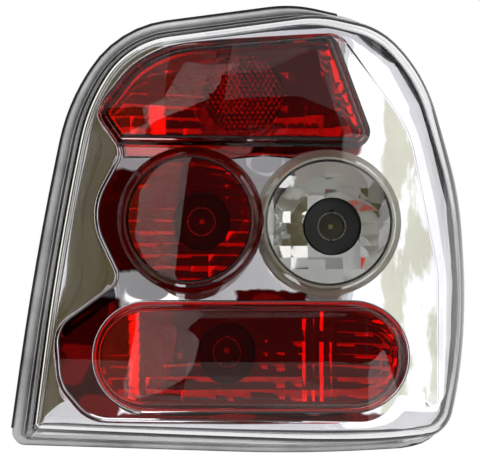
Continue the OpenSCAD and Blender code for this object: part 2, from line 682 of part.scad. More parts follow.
// Mouth wall, faceted bowl and neck of one reflector: children are the mouth's outline outside and inside
module reflector(cen, half_w, half_h, bulb) {
    neck_end = bucket_y - shell_wall;
    behind = 40;
    color([0.85, 0.85, 0.86])
    difference() {
        union() {
            slab(-floor_y + bezel_t, rim_y + reflector_t) difference() {
                children(0);
                children(1);
            }
            intersection() {
                bowl_sheet(cen, half_w, half_h, reflector_t);
                slab(-40, 40) children(0);
            }
            // The neck begins just behind the bowl's bright face
            intersection() {
                bar(bulb, hole_r + reflector_t, rim_y, neck_end);
                translate([0, 0.05, 0]) bowl_sheet(cen, half_w, half_h, behind);
            }
        }
        bar(bulb, hole_r, rim_y - 10, neck_end + 1);
    }
}
module round_mouth(p, r) {
    translate(p) circle(r = r, $fn = 96);
}
module reflector_stop() {
    reflector([stop_x, stop_z], mouth_r, mouth_r, stop_bulb) {
        round_mouth([stop_x, stop_z], mouth_r + reflector_t);
        round_mouth([stop_x, stop_z], mouth_r);
    }
}
module reflector_reverse() {
    reflector([reverse_x, reverse_z], mouth_r, mouth_r, reverse_bulb) {
        round_mouth([reverse_x, reverse_z], mouth_r + reflector_t);
        round_mouth([reverse_x, reverse_z], mouth_r);
    }
}
mouth_in = opening_land + 0.6;
bowl_margin = 7;
module reflector_upper() {
    half_w = (upper_corners[5][0] - upper_corners[1][0]) / 2 - mouth_in - bowl_margin;
    half_h = (upper_corners[4][1] - upper_corners[5][1]) / 2 - mouth_in - bowl_margin;
    reflector([upper_x - 4.5, upper_z + 2.5], half_w, half_h, upper_bulb) {
        polygon(outline(shrink(upper_corners, mouth_in)));
        polygon(outline(shrink(upper_corners, mouth_in + reflector_t)));
    }
}
module reflector_lower() {
    half_w = (lower_right - lower_left) / 2 - mouth_in;
    reflector([(lower_left + lower_right) / 2, lower_z], half_w, lower_half_h - mouth_in, lower_bulb) {
        polygon(outline(shrink(lower_corners, mouth_in), 12));
        polygon(outline(shrink(lower_corners, mouth_in + reflector_t), 12));
    }
}

// Bulb carrier with its connector
carrier_y = bucket_y + carrier_gasket_t;
carrier_back = carrier_y + carrier_t;
tower_front = 9;
cup_r = 12;
cup_back = carrier_back + 11;
cup_wall = 2;
plug_cen = [16, -38];
plug_w = 40;
plug_h = 16;
plug_l = 15;
plug_wall = 1.8;
key_w = 3.4;
key_h = 9.6;
sleeve_r = socket_d / 2 + sleeve_t;
module carrier_bores() {
    for (p = bulb_holes) {
        bar(p, sleeve_r, 0, cup_back - cup_wall);
        translate([p[0] - key_w / 2, 0, p[1] - key_h]) cube([key_w, tower_front + 9, 2 * key_h]);
    }
}
module bulb_carrier() {
    color([0.16, 0.16, 0.17])
    difference() {
        union() {
            slab(carrier_y, carrier_back) polygon(outline(carrier_corners));
            for (p = bulb_holes) {
                bar(p, tower_r, tower_front, carrier_y + 1);
                bar(p, cup_r, carrier_back - 1, cup_back);
            }
            slab(carrier_back - 1, carrier_back + plug_l)
                translate(plug_cen) square([plug_w, plug_h], center = true);
        }
        carrier_bores();
        slab(carrier_back, carrier_back + plug_l + 1)
            translate(plug_cen) square([plug_w - 2 * plug_wall, plug_h - 2 * plug_wall], center = true);
        for (i = [0:blades - 1])
            translate([blade_x(i) - blade_w / 2, carrier_y - 1, plug_cen[1] - blade_t / 2])
                cube([blade_w, carrier_t + 2, blade_t]);
    }
}
module carrier_gasket() {
    color([0.07, 0.07, 0.07])
    slab(bucket_y, carrier_y) difference() {
        polygon(outline(shrink(carrier_corners, 0.8)));
        polygon(outline(shrink(carrier_corners, 4)));
        for (p = bulb_holes)
            translate(p) circle(r = hole_r + 1);
    }
}
blade_w = 2.8;
blade_t = 0.8;
blade_l = 11;
function blade_x(i) = plug_cen[0] + (i - (blades - 1) / 2) * blade_pitch;
module connector_blades() {
    color([0.75, 0.65, 0.35])
    for (i = [0:blades - 1])
        translate([blade_x(i) - blade_w / 2, carrier_y, plug_cen[1] - blade_t / 2])
            cube([blade_w, carrier_t + blade_l, blade_t]);
}

// Contents of one bayonet socket
sleeve_front = 10;
pin_slot = 2.2;
slot_l = 8;
hook = 4;
insulator_y = 27;
insulator_t = 2;
module socket(p) {
    r = socket_d / 2;
    color([0.62, 0.60, 0.52])
    difference() {
        bar(p, sleeve_r, sleeve_front, sleeve_front + sleeve_l);
        bar(p, r, sleeve_front - 1, sleeve_front + sleeve_l + 1);
        for (s = [-1, 1]) {
            translate([p[0] - pin_slot / 2, sleeve_front - 1, p[1] + (s < 0 ? -sleeve_r - 1 : 0)])
                cube([pin_slot, slot_l, sleeve_r + 1]);
            translate([p[0] + (s < 0 ? -hook : 0) - pin_slot / 2, sleeve_front + slot_l - 3,
                p[1] + (s < 0 ? -sleeve_r - 1 : r / 2)])
                cube([hook + pin_slot, pin_slot, sleeve_r + 1 - r / 2]);
        }
    }
}
module insulator(p) {
    color([0.55, 0.42, 0.28])
    difference() {
        bar(p, socket_d / 2 - 0.3, insulator_y, insulator_y + insulator_t);
        bar(p, 1, insulator_y - 1, insulator_y + insulator_t + 1);
    }
}
module contact(p) {
    color([0.80, 0.66, 0.22])
    union() {
        bar(p, 1.5, insulator_y - 1, insulator_y);
        bar(p, 1, insulator_y - 0.5, insulator_y + insulator_t + 1);
    }
}
// Coil spring behind the insulator, swept along its helix
spring_r = 5;
wire_r = 0.4;
spring_turns = 3;
module spring(p) {
    sides = 5;
    steps = 12 * spring_turns;
    y0 = insulator_y + insulator_t + wire_r;
    y1 = cup_back - cup_wall - wire_r;
    function ring(i) = let (a = 360 * spring_turns * i / steps, y = mix(y0, y1, i / steps))
        [for (j = [0:sides - 1]) let (b = -360 * j / sides, r = spring_r + wire_r * cos(b))
            [p[0] + r * cos(a), y + wire_r * sin(b), p[1] + r * sin(a)]];
    function hub(i) = let (a = 360 * spring_turns * i / steps)
        [p[0] + spring_r * cos(a), mix(y0, y1, i / steps), p[1] + spring_r * sin(a)];
    color([0.7, 0.7, 0.72])
    skin([for (i = [0:steps]) ring(i)], hub(0), hub(steps));
}

// Stamped tracks on the back of the carrier, each from its blade to its socket
track_t = 0.6;
track_w = 3.4;
module track(points) {
    color([0.78, 0.64, 0.30])
    slab(carrier_back, carrier_back + track_t)
        union() for (i = [0:len(points) - 2])
            track_leg(points[i], points[i + 1]);
}
module track_leg(a, b) {
    translate([min(a[0], b[0]) - track_w / 2, min(a[1], b[1]) - track_w / 2])
        square([abs(a[0] - b[0]) + track_w, abs(a[1] - b[1]) + track_w]);
}
plug_top = plug_cen[1] + plug_h / 2 + track_w / 2;
plug_low = plug_cen[1] - plug_h / 2 - track_w / 2;
cup_side = cup_r + track_w / 2;
jog_z = 34;
module feed_track_upper() {
    track([[blade_x(1), plug_top], [blade_x(1), jog_z], [upper_bulb[0], jog_z],
        [upper_bulb[0], upper_bulb[1] - cup_side]]);
}
module feed_track_stop() {
    track([[blade_x(0), plug_top], [blade_x(0), stop_bulb[1]], [stop_bulb[0] + cup_side, stop_bulb[1]]]);
}
module feed_track_reverse() {
    track([[blade_x(3), plug_top], [blade_x(3), reverse_bulb[1]], [reverse_bulb[0] - cup_side, reverse_bulb[1]]]);
}
module feed_track_lower() {
    track([[blade_x(2), plug_low], [blade_x(2), lower_bulb[1]], [lower_bulb[0] + cup_side, lower_bulb[1]]]);
}
module earth_track() {
    turn_z = -92;
    track([[blade_x(4), plug_low], [blade_x(4), turn_z], [lower_bulb[0], turn_z],
        [lower_bulb[0], lower_bulb[1] - cup_side]]);
}

// Studs, screws and vents
// The neck in the housing's floor is thicker than the thread behind it
stud_step = 0.5;
module stud(p) {
    color([0.72, 0.72, 0.70])
    union() {
        bar(p, stud_d / 2, -tray_y - 1, stud_l);
        bar(p, stud_neck_r, -tray_y - 1, -tray_y + shell_wall + stud_step);
        bar(p, stud_head_r, -tray_y - stud_head_t, -tray_y);
    }
}
module bezel_screws() {
    head_r = 0.9 * screw_d;
    head_t = 2.4;
    color([0.7, 0.7, 0.68])
    for (i = [0:3]) {
        seat = i < 2 ? bucket_y : -tray_y + shell_wall;
        union() {
            bar(screw_places[i], screw_d / 2 - screw_bite, seat - screw_l, seat + 1);
            bar(screw_places[i], head_r, seat, seat + head_t);
        }
    }
}
module vent_cap(p) {
    cap_r = 5.5;
    cap_l = 7;
    lip = 2;
    step = 1.5;
    color([0.06, 0.06, 0.06])
    translate([p[0], bucket_y, p[1]])
        rotate([-90, 0, 0])
        rotate_extrude()
        polygon([[vent_r, 0], [cap_r, 0], [cap_r, lip], [cap_r - step, cap_l - 2], [cap_r - step, cap_l], [0, cap_l],
            [0, cap_l - 2], [vent_r, cap_l - 2]]);
}

housing();
body_gasket();
edge_seal();
lens_sealant();
outer_lens();
bezel();
upper_lens();
stop_lens();
reverse_lens();
lower_lens();
reflex_disc();
reflector_upper();
reflector_stop();
reflector_reverse();
reflector_lower();
bulb_carrier();
carrier_gasket();
socket(upper_bulb);  // socket_upper
socket(stop_bulb);  // socket_stop
socket(reverse_bulb);  // socket_reverse
socket(lower_bulb);  // socket_lower
insulator(upper_bulb);  // insulator_upper
insulator(stop_bulb);  // insulator_stop
insulator(reverse_bulb);  // insulator_reverse
insulator(lower_bulb);  // insulator_lower
contact(upper_bulb);  // contact_upper
contact(stop_bulb);  // contact_stop
contact(reverse_bulb);  // contact_reverse
contact(lower_bulb);  // contact_lower
spring(upper_bulb);  // spring_upper
spring(stop_bulb);  // spring_stop
spring(reverse_bulb);  // spring_reverse
spring(lower_bulb);  // spring_lower
connector_blades();
earth_track();
feed_track_upper();
feed_track_stop();
feed_track_reverse();
feed_track_lower();
stud(stud_places[0]);  // stud_lower
stud(stud_places[1]);  // stud_inboard
stud(stud_places[2]);  // stud_outboard
bezel_screws();
vent_cap(vent_places[0]);  // vent_cap_upper
vent_cap(vent_places[1]);  // vent_cap_lower
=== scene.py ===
import json
import math
import bpy
import numpy as np
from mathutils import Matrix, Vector
from mathutils.geometry import tessellate_polygon


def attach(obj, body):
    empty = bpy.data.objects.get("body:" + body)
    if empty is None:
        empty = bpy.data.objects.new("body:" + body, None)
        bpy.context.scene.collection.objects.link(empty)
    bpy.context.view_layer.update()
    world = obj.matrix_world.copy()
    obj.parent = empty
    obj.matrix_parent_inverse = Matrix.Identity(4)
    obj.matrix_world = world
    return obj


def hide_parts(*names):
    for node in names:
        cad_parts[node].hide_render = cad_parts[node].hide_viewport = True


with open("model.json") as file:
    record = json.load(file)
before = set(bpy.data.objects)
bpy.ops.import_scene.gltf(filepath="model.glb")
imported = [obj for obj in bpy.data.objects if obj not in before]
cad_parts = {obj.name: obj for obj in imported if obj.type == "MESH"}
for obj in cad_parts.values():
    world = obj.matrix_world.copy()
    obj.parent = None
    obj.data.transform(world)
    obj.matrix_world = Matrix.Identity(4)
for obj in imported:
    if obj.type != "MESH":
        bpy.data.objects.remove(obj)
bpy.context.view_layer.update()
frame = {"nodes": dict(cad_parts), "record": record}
nodes = frame["nodes"]
scene = bpy.context.scene
scene.view_settings.view_transform = "Standard"
MM = 0.001

# Camera: straight at the lens, at the photograph's distance and framing
CAMERA_PLACE = (-0.00046, -1.170, -0.00103)
FOCAL, SENSOR = 151.3, 36
cam_data = bpy.data.cameras.new("camera")
cam = bpy.data.objects.new("camera", cam_data)
scene.collection.objects.link(cam)
cam_data.sensor_width = SENSOR
cam_data.lens = FOCAL
cam_data.clip_start = 0.05
cam_data.clip_end = 30
cam.location = CAMERA_PLACE
cam.rotation_euler = (math.radians(90), 0, 0)
scene.camera = cam

# Outlines in millimetres: each corner is x, z and fillet radius, clockwise from the lower inboard one
LAMP_W, LAMP_H = 261.0, 254.4
LEFT, RIGHT = -LAMP_W / 2, LAMP_W / 2
TOP, BOTTOM = LAMP_H / 2, -LAMP_H / 2
RIM = [(LEFT - 1.5, BOTTOM + 4.2, 8), (LEFT + 13, -20, 1900), (LEFT + 31.5, TOP - 56.7, 116),
       (LEFT + 60, TOP - 12.2, 61), (29.5, TOP + 1.3, 76), (RIGHT - 58.5, TOP - 8.2, 56),
       (RIGHT - 27, TOP - 38.2, 100), (RIGHT - 4, 17, 190), (RIGHT + 3, BOTTOM + 65.7, 250),
       (RIGHT - 12.5, BOTTOM + 2.7, 25), (37, BOTTOM - 1.8, 900)]
# From the rim to the lens foot along each side, and how far the lens wall leans in from there
FOOT_GAPS = [8.5, 7.8, 7, 7, 4, 2.2, 2.2, 2.2, 2.2, 6, 6]
WALL_LEANS = [4.5, 4.5, 4, 3.5, 1.5, -1, -1.5, -1.5, -1, 1.5, 4]
# The lens widens by this much just above its foot, where it hides the housing's rim
LIP_GAPS = [0, 0, 0, 0, -1.4, -1.9, -1.9, -1.9, -1.9, -3, -3]
WAVE = [(LEFT + 45.2, BOTTOM + 18.6, 24), (LEFT + 28, BOTTOM + 39, 24), (LEFT + 25.1, BOTTOM + 71.3, 18),
        (LEFT + 62.5, BOTTOM + 98.3, 8.5), (LEFT + 44.6, TOP - 118.4, 34), (LEFT + 63.2, TOP - 84.1, 9),
        (LEFT + 47.9, TOP - 61.6, 9), (LEFT + 69, TOP - 35.4, 45), (LEFT + 90.7, TOP - 23.5, 60),
        (RIGHT - 74.3, TOP - 16, 14), (RIGHT - 35.1, TOP - 71.5, 60), (RIGHT - 19.2, BOTTOM + 102.3, 70),
        (RIGHT - 19.2, BOTTOM + 22.8, 3), (RIGHT - 27.1, BOTTOM + 29.8, 9), (RIGHT - 41, BOTTOM + 32.3, 2.5),
        (RIGHT - 50, BOTTOM + 16.6, 22)]
# How far each corner of the wave leans round the lamp on its way out to the lens foot, in degrees
WAVE_TURNS = [0, 1.3, -0.7, -7.2, 0.3, 4.8, 0.6, 0.4, 0.3, -0.1, -2, -0.1, 2.7, -3.4, -3.5, 0.2]
UPPER = [(LEFT + 62, TOP - 79.7, 3), (LEFT + 49.3, TOP - 61.4, 8), (LEFT + 69.7, TOP - 36.4, 44),
         (LEFT + 91, TOP - 24.6, 59), (RIGHT - 77.3, TOP - 17.2, 9), (RIGHT - 53.5, TOP - 81.6, 9)]
LOWER_Z, LOWER_HALF_H, LOWER_LEFT, LOWER_RIGHT = -72.4, 32, LEFT + 46.3, RIGHT - 35.2
LOWER = [(x, LOWER_Z + side * LOWER_HALF_H, LOWER_HALF_H)
         for x, side in ((LOWER_LEFT, -1), (LOWER_LEFT, 1), (LOWER_RIGHT, 1), (LOWER_RIGHT, -1))]
STOP, REVERSE = (-28.6, 5.2), (48.9, 3.4)
STOP_BULB, REVERSE_BULB, UPPER_BULB, LOWER_BULB = (-23.1, 4.2), (53, 1.4), (1.5, 75), (-8, LOWER_Z)
MOUTH_R = 35.4

# Depths in millimetres; the lens faces -Y
FLOOR_Y, FRONT_Y, LENS_T = -26.0, -62.0, 3.0
JOINT_INBOARD, JOINT_BEND, JOINT_OUTBOARD = -22, -14, 18
BEND_START, BEND_END = 92, 124
CROWN_X, CROWN_Z = 0.0005, 0.0006
WRAP_START, WRAP_R, WRAP_END = 64, 69, 132


def unit(v):
    return v / np.linalg.norm(v)


def inset(c, d, more=0.0):
    """Moves each side of an outline in by its own distance, and by a common one."""
    n, out = len(c), []
    for i in range(n):
        a, b, e = (np.array(c[(i + k) % n][:2], float) for k in (-1, 0, 1))
        da, db = d[(i - 1) % n] + more, d[i] + more
        u, v = unit(b - a), unit(e - b)
        pa = a + np.array([u[1], -u[0]]) * da
        pb = b + np.array([v[1], -v[0]]) * db
        turn = u[0] * v[1] - u[1] * v[0]
        k = ((pb[0] - pa[0]) * v[1] - (pb[1] - pa[1]) * v[0]) / turn
        p = pa + u * k
        r = c[i][2] - max(da, db) if turn < 0 else c[i][2] + min(da, db)
        out.append((p[0], p[1], max(1.2, r)))
    return out


def shrink(c, d):
    return inset(c, [0] * len(c), d)


def outline(c, k=14, m=6):
    """Rounded outline with k steps in each fillet and m points along each straight side."""
    n = len(c)
    P = [np.array(p[:2], float) for p in c]
    ways = [(unit(P[i - 1] - P[i]), unit(P[(i + 1) % n] - P[i])) for i in range(n)]
    half = [math.acos(np.clip(u @ v, -1, 1)) / 2 for u, v in ways]
    reach = [c[i][2] / math.tan(half[i]) for i in range(n)]
    room = [0.99 * np.linalg.norm(P[(i + 1) % n] - P[i]) / (reach[i] + reach[(i + 1) % n])
            for i in range(n)]
    arcs = []
    for i in range(n):
        r = c[i][2] * min(1, room[i], room[i - 1])
        u, v = ways[i]
        cen = P[i] + unit(u + v) * r / math.sin(half[i])
        f = P[i] + u * r / math.tan(half[i]) - cen
        t = P[i] + v * r / math.tan(half[i]) - cen
        a0, a1 = math.atan2(f[1], f[0]), math.atan2(t[1], t[0])
        d = (a1 - a0 + 3 * math.pi) % (2 * math.pi) - math.pi
        angles = [a0 + d * j / k for j in range(k + 1)]
        arcs.append([cen + r * np.array([math.cos(a), math.sin(a)]) for a in angles])
    pts = []
    for i in range(n):
        pts += arcs[i]
        start, end = arcs[i][-1], arcs[(i + 1) % n][0]
        pts += [start + (end - start) * j / (m + 1) for j in range(1, m + 1)]
    return np.array(pts)


def circle(p, r, k=96):
    angles = [2 * math.pi * i / k for i in range(k)]
    return np.array([(p[0] + r * math.cos(a), p[1] + r * math.sin(a)) for a in angles])


def grow_line(line, d):
    """Moves a fine outline outward by d, whichever way round it runs."""
    t = np.roll(line, -1, 0) - np.roll(line, 1, 0)
    t = t / np.maximum(np.linalg.norm(t, axis=1), 1e-9)[:, None]
    side = np.stack([-t[:, 1], t[:, 0]], 1)
    area2 = np.sum(line[:, 0] * np.roll(line[:, 1], -1) - np.roll(line[:, 0], -1) * line[:, 1])
    return line + side * (d if area2 < 0 else -d)


def inside(px, pz, line):
    """Which of many points lie inside a closed line."""
    hit = np.zeros(px.shape, bool)
    for (ax, az), (bx, bz) in zip(np.roll(line, 1, 0), line):
        cross = (az > pz) != (bz > pz)
        with np.errstate(divide="ignore", invalid="ignore"):
            hit ^= cross & (px < (bx - ax) * (pz - az) / (bz - az) + ax)
    return hit


def at_bearing(poly, angle):
    """The point of an outline that lies at a bearing seen from the middle."""
    v = np.array([math.cos(angle), math.sin(angle)])
    a, b = poly, np.roll(poly, -1, 0)
    e = b - a
    den = v[0] * e[:, 1] - v[1] * e[:, 0]
    den = np.where(abs(den) < 1e-12, 1e-12, den)
    k = (a[:, 0] * e[:, 1] - a[:, 1] * e[:, 0]) / den
    t = (a[:, 0] * v[1] - a[:, 1] * v[0]) / den
    ok = (k > 0) & (t >= -1e-9) & (t <= 1 + 1e-9)
    return v * k[ok][0]


def fade(t):
    t = np.clip(t, 0, 1)
    return t * t * (3 - 2 * t)


def joint_y(x):
    """Joint of lens and housing: it bends back round the outboard corner."""
    x = np.asarray(x, float)
    flat = JOINT_INBOARD + (JOINT_BEND - JOINT_INBOARD) * (x - LEFT) / (BEND_START - LEFT)
    bent = JOINT_BEND + (JOINT_OUTBOARD - JOINT_BEND) * (x - BEND_START) / (BEND_END - BEND_START)
    return np.where(x < BEND_START, flat, np.where(x > BEND_END, float(JOINT_OUTBOARD), bent))


def face_y(x, z):
    """Front of the clear lens: slightly crowned, and wrapped round the outboard corner."""
    past = np.maximum(np.minimum(np.asarray(x, float), WRAP_END) - WRAP_START, 0)
    wrap = WRAP_R - np.sqrt(np.maximum(WRAP_R ** 2 - past ** 2, 0))
    return FRONT_Y + CROWN_X * x * x + CROWN_Z * z * z + wrap


def ring(line, y):
    y = np.broadcast_to(np.asarray(y, float), (len(line),))
    return np.stack([line[:, 0], y, line[:, 1]], 1)


class Build:
    """Collects rings and faces in millimetres and makes one object of them."""

    def __init__(self):
        self.v, self.f, self.mat = [], [], []

    def add(self, pts):
        base = len(self.v)
        self.v += [tuple(p) for p in pts]
        return base

    def face(self, f):
        self.f.append(f)
        self.mat.append(0)

    def band(self, p, q, n):
        """Joins two rings of n points, which start at p and q."""
        for i in range(n):
            k = (i + 1) % n
            self.face((p + i, p + k, q + k, q + i))

    def loft(self, rings):
        bases = [self.add(r) for r in rings]
        for p, q in zip(bases, bases[1:]):
            self.band(p, q, len(rings[0]))
        return bases

    def tip(self, base, n, point, flip=False):
        t = self.add([point])
        for i in range(n):
            k = (i + 1) % n
            self.face((base + k, base + i, t) if flip else (base + i, base + k, t))

    def make(self, name, materials, sharp=40, replaced=(), slot=None):
        me = bpy.data.meshes.new(name)
        me.from_pydata([(x * MM, y * MM, z * MM) for x, y, z in self.v], [], self.f)
        for m in materials:
            me.materials.append(m)
        me.polygons.foreach_set("material_index", self.mat)
        me.polygons.foreach_set("use_smooth", [True] * len(self.f))
        me.update()
        if sharp is not None:
            me.set_sharp_from_angle(angle=math.radians(sharp))
        ob = bpy.data.objects.new(name, me)
        scene.collection.objects.link(ob)
        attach(ob, "root")
        if replaced:
            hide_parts(*replaced)
        return ob


class Tree:
    """A node tree, with short ways to add nodes to it."""

    def __init__(self, tree):
        self.t = tree

    def node(self, kind, **kw):
        n = self.t.nodes.new(kind)
        for k, v in kw.items():
            setattr(n, k, v)
        return n

    def link(self, a, b):
        self.t.links.new(a, b)

    def math(self, operation, *values, clamp=False):
        """A math node: each value is a socket to link or a number for its own socket."""
        n = self.node("ShaderNodeMath", operation=operation, use_clamp=clamp)
        for socket, value in zip(n.inputs, values):
            if isinstance(value, (int, float)):
                socket.default_value = value
            else:
                self.link(value, socket)
        return n.outputs[0]

    def seen(self):
        """1 on camera rays and in mirrors and glass, 0 on all other rays."""
        rays = self.node("ShaderNodeLightPath").outputs
        eyes = self.math("MAXIMUM", rays["Is Camera Ray"], rays["Is Glossy Ray"])
        return self.math("MAXIMUM", eyes, rays["Is Transmission Ray"])


class Mat(Tree):
    """A material with a Principled shader; keywords name its inputs."""

    def __init__(self, name, **kw):
        self.m = bpy.data.materials.new(name)
        self.m.use_nodes = True
        super().__init__(self.m.node_tree)
        self.b = self.t.nodes["Principled BSDF"]
        self.o = self.t.nodes["Material Output"]
        for k, v in kw.items():
            self.b.inputs[k.replace("_", " ")].default_value = v

    def coords(self, scale=(1, 1, 1)):
        tc, mp = self.node("ShaderNodeTexCoord"), self.node("ShaderNodeMapping")
        mp.inputs["Scale"].default_value = scale
        self.link(tc.outputs["Object"], mp.inputs["Vector"])
        return mp.outputs["Vector"]

    def noise(self, scale, detail=4, vec=None):
        n = self.node("ShaderNodeTexNoise")
        n.inputs["Scale"].default_value = scale
        n.inputs["Detail"].default_value = detail
        n.inputs["Roughness"].default_value = 0.55
        self.link(vec if vec is not None else self.coords(), n.inputs["Vector"])
        return n.outputs["Fac"]

    def ramp(self, fac, stops):
        r = self.node("ShaderNodeValToRGB")
        e = r.color_ramp.elements
        while len(e) < len(stops):
            e.new(0.5)
        for el, (p, c) in zip(e, stops):
            el.position = p
            el.color = (*c, 1) if isinstance(c, tuple) else (c, c, c, 1)
        self.link(fac, r.inputs["Fac"])
        return r.outputs["Color"]

    def mix(self, fac, a, b):
        """Blends two colours, each a tuple or a socket."""
        n = self.node("ShaderNodeMix", data_type="RGBA")
        self.link(fac, n.inputs["Factor"])
        for socket, value in ((n.inputs[6], a), (n.inputs[7], b)):
            if isinstance(value, tuple):
                socket.default_value = (*value, 1)
            else:
                self.link(value, socket)
        return n.outputs[2]

    def bump(self, height, strength, distance=0.0003):
        b = self.node("ShaderNodeBump")
        b.inputs["Strength"].default_value = strength
        b.inputs["Distance"].default_value = distance
        self.link(height, b.inputs["Height"])
        self.link(b.outputs["Normal"], self.b.inputs["Normal"])

    def shadowless(self, shader, tint):
        """Lets lamps shine through: on shadow rays the shader is plain transparent with a tint."""
        rays, clear = self.node("ShaderNodeLightPath"), self.node("ShaderNodeBsdfTransparent")
        both = self.node("ShaderNodeMixShader")
        clear.inputs["Color"].default_value = (*tint, 1)
        self.link(rays.outputs["Is Shadow Ray"], both.inputs["Fac"])
        self.link(shader, both.inputs[1])
        self.link(clear.outputs["BSDF"], both.inputs[2])
        self.link(both.outputs["Shader"], self.o.inputs["Surface"])


def moulded(name, color, rough, grain=900, depth=0.25, wear=0.25):
    """Moulded plastic, rubber or board: fine grain, and patches of darker and paler tone."""
    m = Mat(name, Specular_IOR_Level=0.45)
    big, fine = m.noise(35, 5), m.noise(grain, 3)
    dark = tuple(c * (1 - wear) for c in color)
    pale = tuple(min(1, c * (1 + wear)) for c in color)
    m.link(m.ramp(big, [(0.3, dark), (0.7, pale)]), m.b.inputs["Base Color"])
    m.link(m.ramp(fine, [(0.3, rough - 0.08), (0.7, rough + 0.08)]), m.b.inputs["Roughness"])
    m.bump(fine, depth)
    return m.m


def metal(name, color, rough, brushed=(1, 1, 1), depth=0.05, var=0.06):
    """Bare or plated metal; brushed is the scale of its fine marks along each axis."""
    m = Mat(name, Metallic=1.0)
    fine, big = m.noise(700, 4, m.coords(brushed)), m.noise(60, 3)
    dark = tuple(c * (1 - var) for c in color)
    m.link(m.ramp(big, [(0.35, dark), (0.65, color)]), m.b.inputs["Base Color"])
    m.link(m.ramp(fine, [(0.3, max(0.02, rough * 0.7)), (0.7, rough * 1.3)]), m.b.inputs["Roughness"])
    m.bump(fine, depth, 0.0001)
    return m.m


def floor_chrome_painted_reflections(name, color, rough):
    """Chrome of the bezel's floor with painted reflections: its colour is painted a dark reddish tone beside,
    above and below the lenses, where the real chrome mirrors them, and a pale olive-grey in patches outboard.
    """
    m = Mat(name, Metallic=1.0)
    sep = m.node("ShaderNodeSeparateXYZ")
    m.link(m.node("ShaderNodeTexCoord").outputs["Object"], sep.inputs["Vector"])
    x, z = sep.outputs["X"], sep.outputs["Z"]
    ripple, wave_height = m.noise(55, 3), 0.010

    def past(value, edge, soft=2.0, sign=1):
        """1 where value (in metres) lies past edge (in millimetres), softened over a width."""
        k = sign / (soft * MM)
        wavy = m.math("MULTIPLY_ADD", ripple, wave_height, value)
        level = m.math("SUBTRACT", wavy, wave_height / 2)
        return m.math("MULTIPLY_ADD", level, k, 0.5 - edge * MM * k, clamp=True)

    def join(operation, *parts):
        out = parts[0]
        for q in parts[1:]:
            out = m.math(operation, out, q)
        return out

    # Painted reflection: these masks mark where the chrome is painted dark reddish, beside the stop and lower
    # lenses, under the upper lens, over the lower lens and along the bottom
    beside_stop = join("MULTIPLY", past(x, -56, sign=-1), past(z, 33, sign=-1), past(z, -23))
    beside_lower = join("MULTIPLY", past(x, -68, sign=-1), past(z, -39, sign=-1))
    under_upper = join("MULTIPLY", past(z, 42.5, 1.2), past(z, 50, sign=-1), past(x, 6), past(x, 68, sign=-1))
    over_lower = join("MULTIPLY", past(z, -35.5, 1.2, -1), past(x, -4), past(x, 38, sign=-1))
    below = join("MULTIPLY", past(z, -104, sign=-1), past(x, 90, sign=-1))
    painted_lens_reflection = join("MAXIMUM", beside_stop, beside_lower, under_upper, over_lower, below)
    # Painted reflection: pale olive-grey patches painted on the chrome outboard
    veil = m.noise(1, 5, m.coords((58, 58, 17)))
    olive = join("MULTIPLY", past(x, 80), m.ramp(veil, [(0.47, 0), (0.53, 1)]))
    # Both painted reflections are mixed into the chrome's base colour here
    tone = m.mix(painted_lens_reflection, m.mix(olive, color, (0.55, 0.545, 0.47)), (0.075, 0.001, 0.001))
    m.link(tone, m.b.inputs["Base Color"])
    m.link(m.ramp(m.noise(700, 3), [(0.3, rough * 0.8), (0.7, rough * 1.2)]), m.b.inputs["Roughness"])
    return m.m


def optic(name, color, shade, rough=0.0, ripple=0.04, through=1.0):
    """Clear or dyed acrylic with the slight waviness of a moulding."""
    m = Mat(name, Transmission_Weight=through, IOR=1.49, Roughness=rough)
    dark = tuple(c * 0.94 for c in color)
    m.link(m.ramp(m.noise(30, 3), [(0.35, dark), (0.65, color)]), m.b.inputs["Base Color"])
    m.bump(m.noise(45, 2), ripple, 0.0004)
    m.shadowless(m.b.outputs["BSDF"], shade)
    return m.m


CLEAR = optic("clear_acrylic", (0.985, 0.99, 0.99), (0.97, 0.97, 0.97), ripple=0.02)
CLEAR_CAP = optic("clear_cap_acrylic", (0.95, 0.96, 0.94), (0.93, 0.93, 0.93), ripple=0.03)
CLEAR_RIM = optic("clear_rim_acrylic", (0.66, 0.65, 0.55), (0.8, 0.8, 0.78), 0.05, through=0.62)
RED = optic("red_acrylic", (0.88, 0.038, 0.015), (0.5, 0.01, 0.004), ripple=0.02)
RED_RIM = optic("red_rim_acrylic", (0.22, 0.004, 0.002), (0.4, 0.01, 0.004), 0.05, through=0.6)
REFLEX = optic("reflex_acrylic", (0.42, 0.045, 0.025), (0.4, 0.01, 0.01), ripple=0.03)
CHROME_COLOR = (0.83, 0.82, 0.86)
CHROME = metal("chrome", CHROME_COLOR, 0.035, depth=0.0015, var=0.03)
# The floor's chrome carries painted reflections in its colour
FLOOR_CHROME_PAINTED_REFLECTIONS = floor_chrome_painted_reflections("floor_chrome_painted_reflections", CHROME_COLOR, 0.03)
ALU = metal("aluminised", (0.90, 0.89, 0.90), 0.05, depth=0.01, var=0.03)
BLACK = moulded("black_moulding", (0.040, 0.040, 0.043), 0.34, depth=0.12)
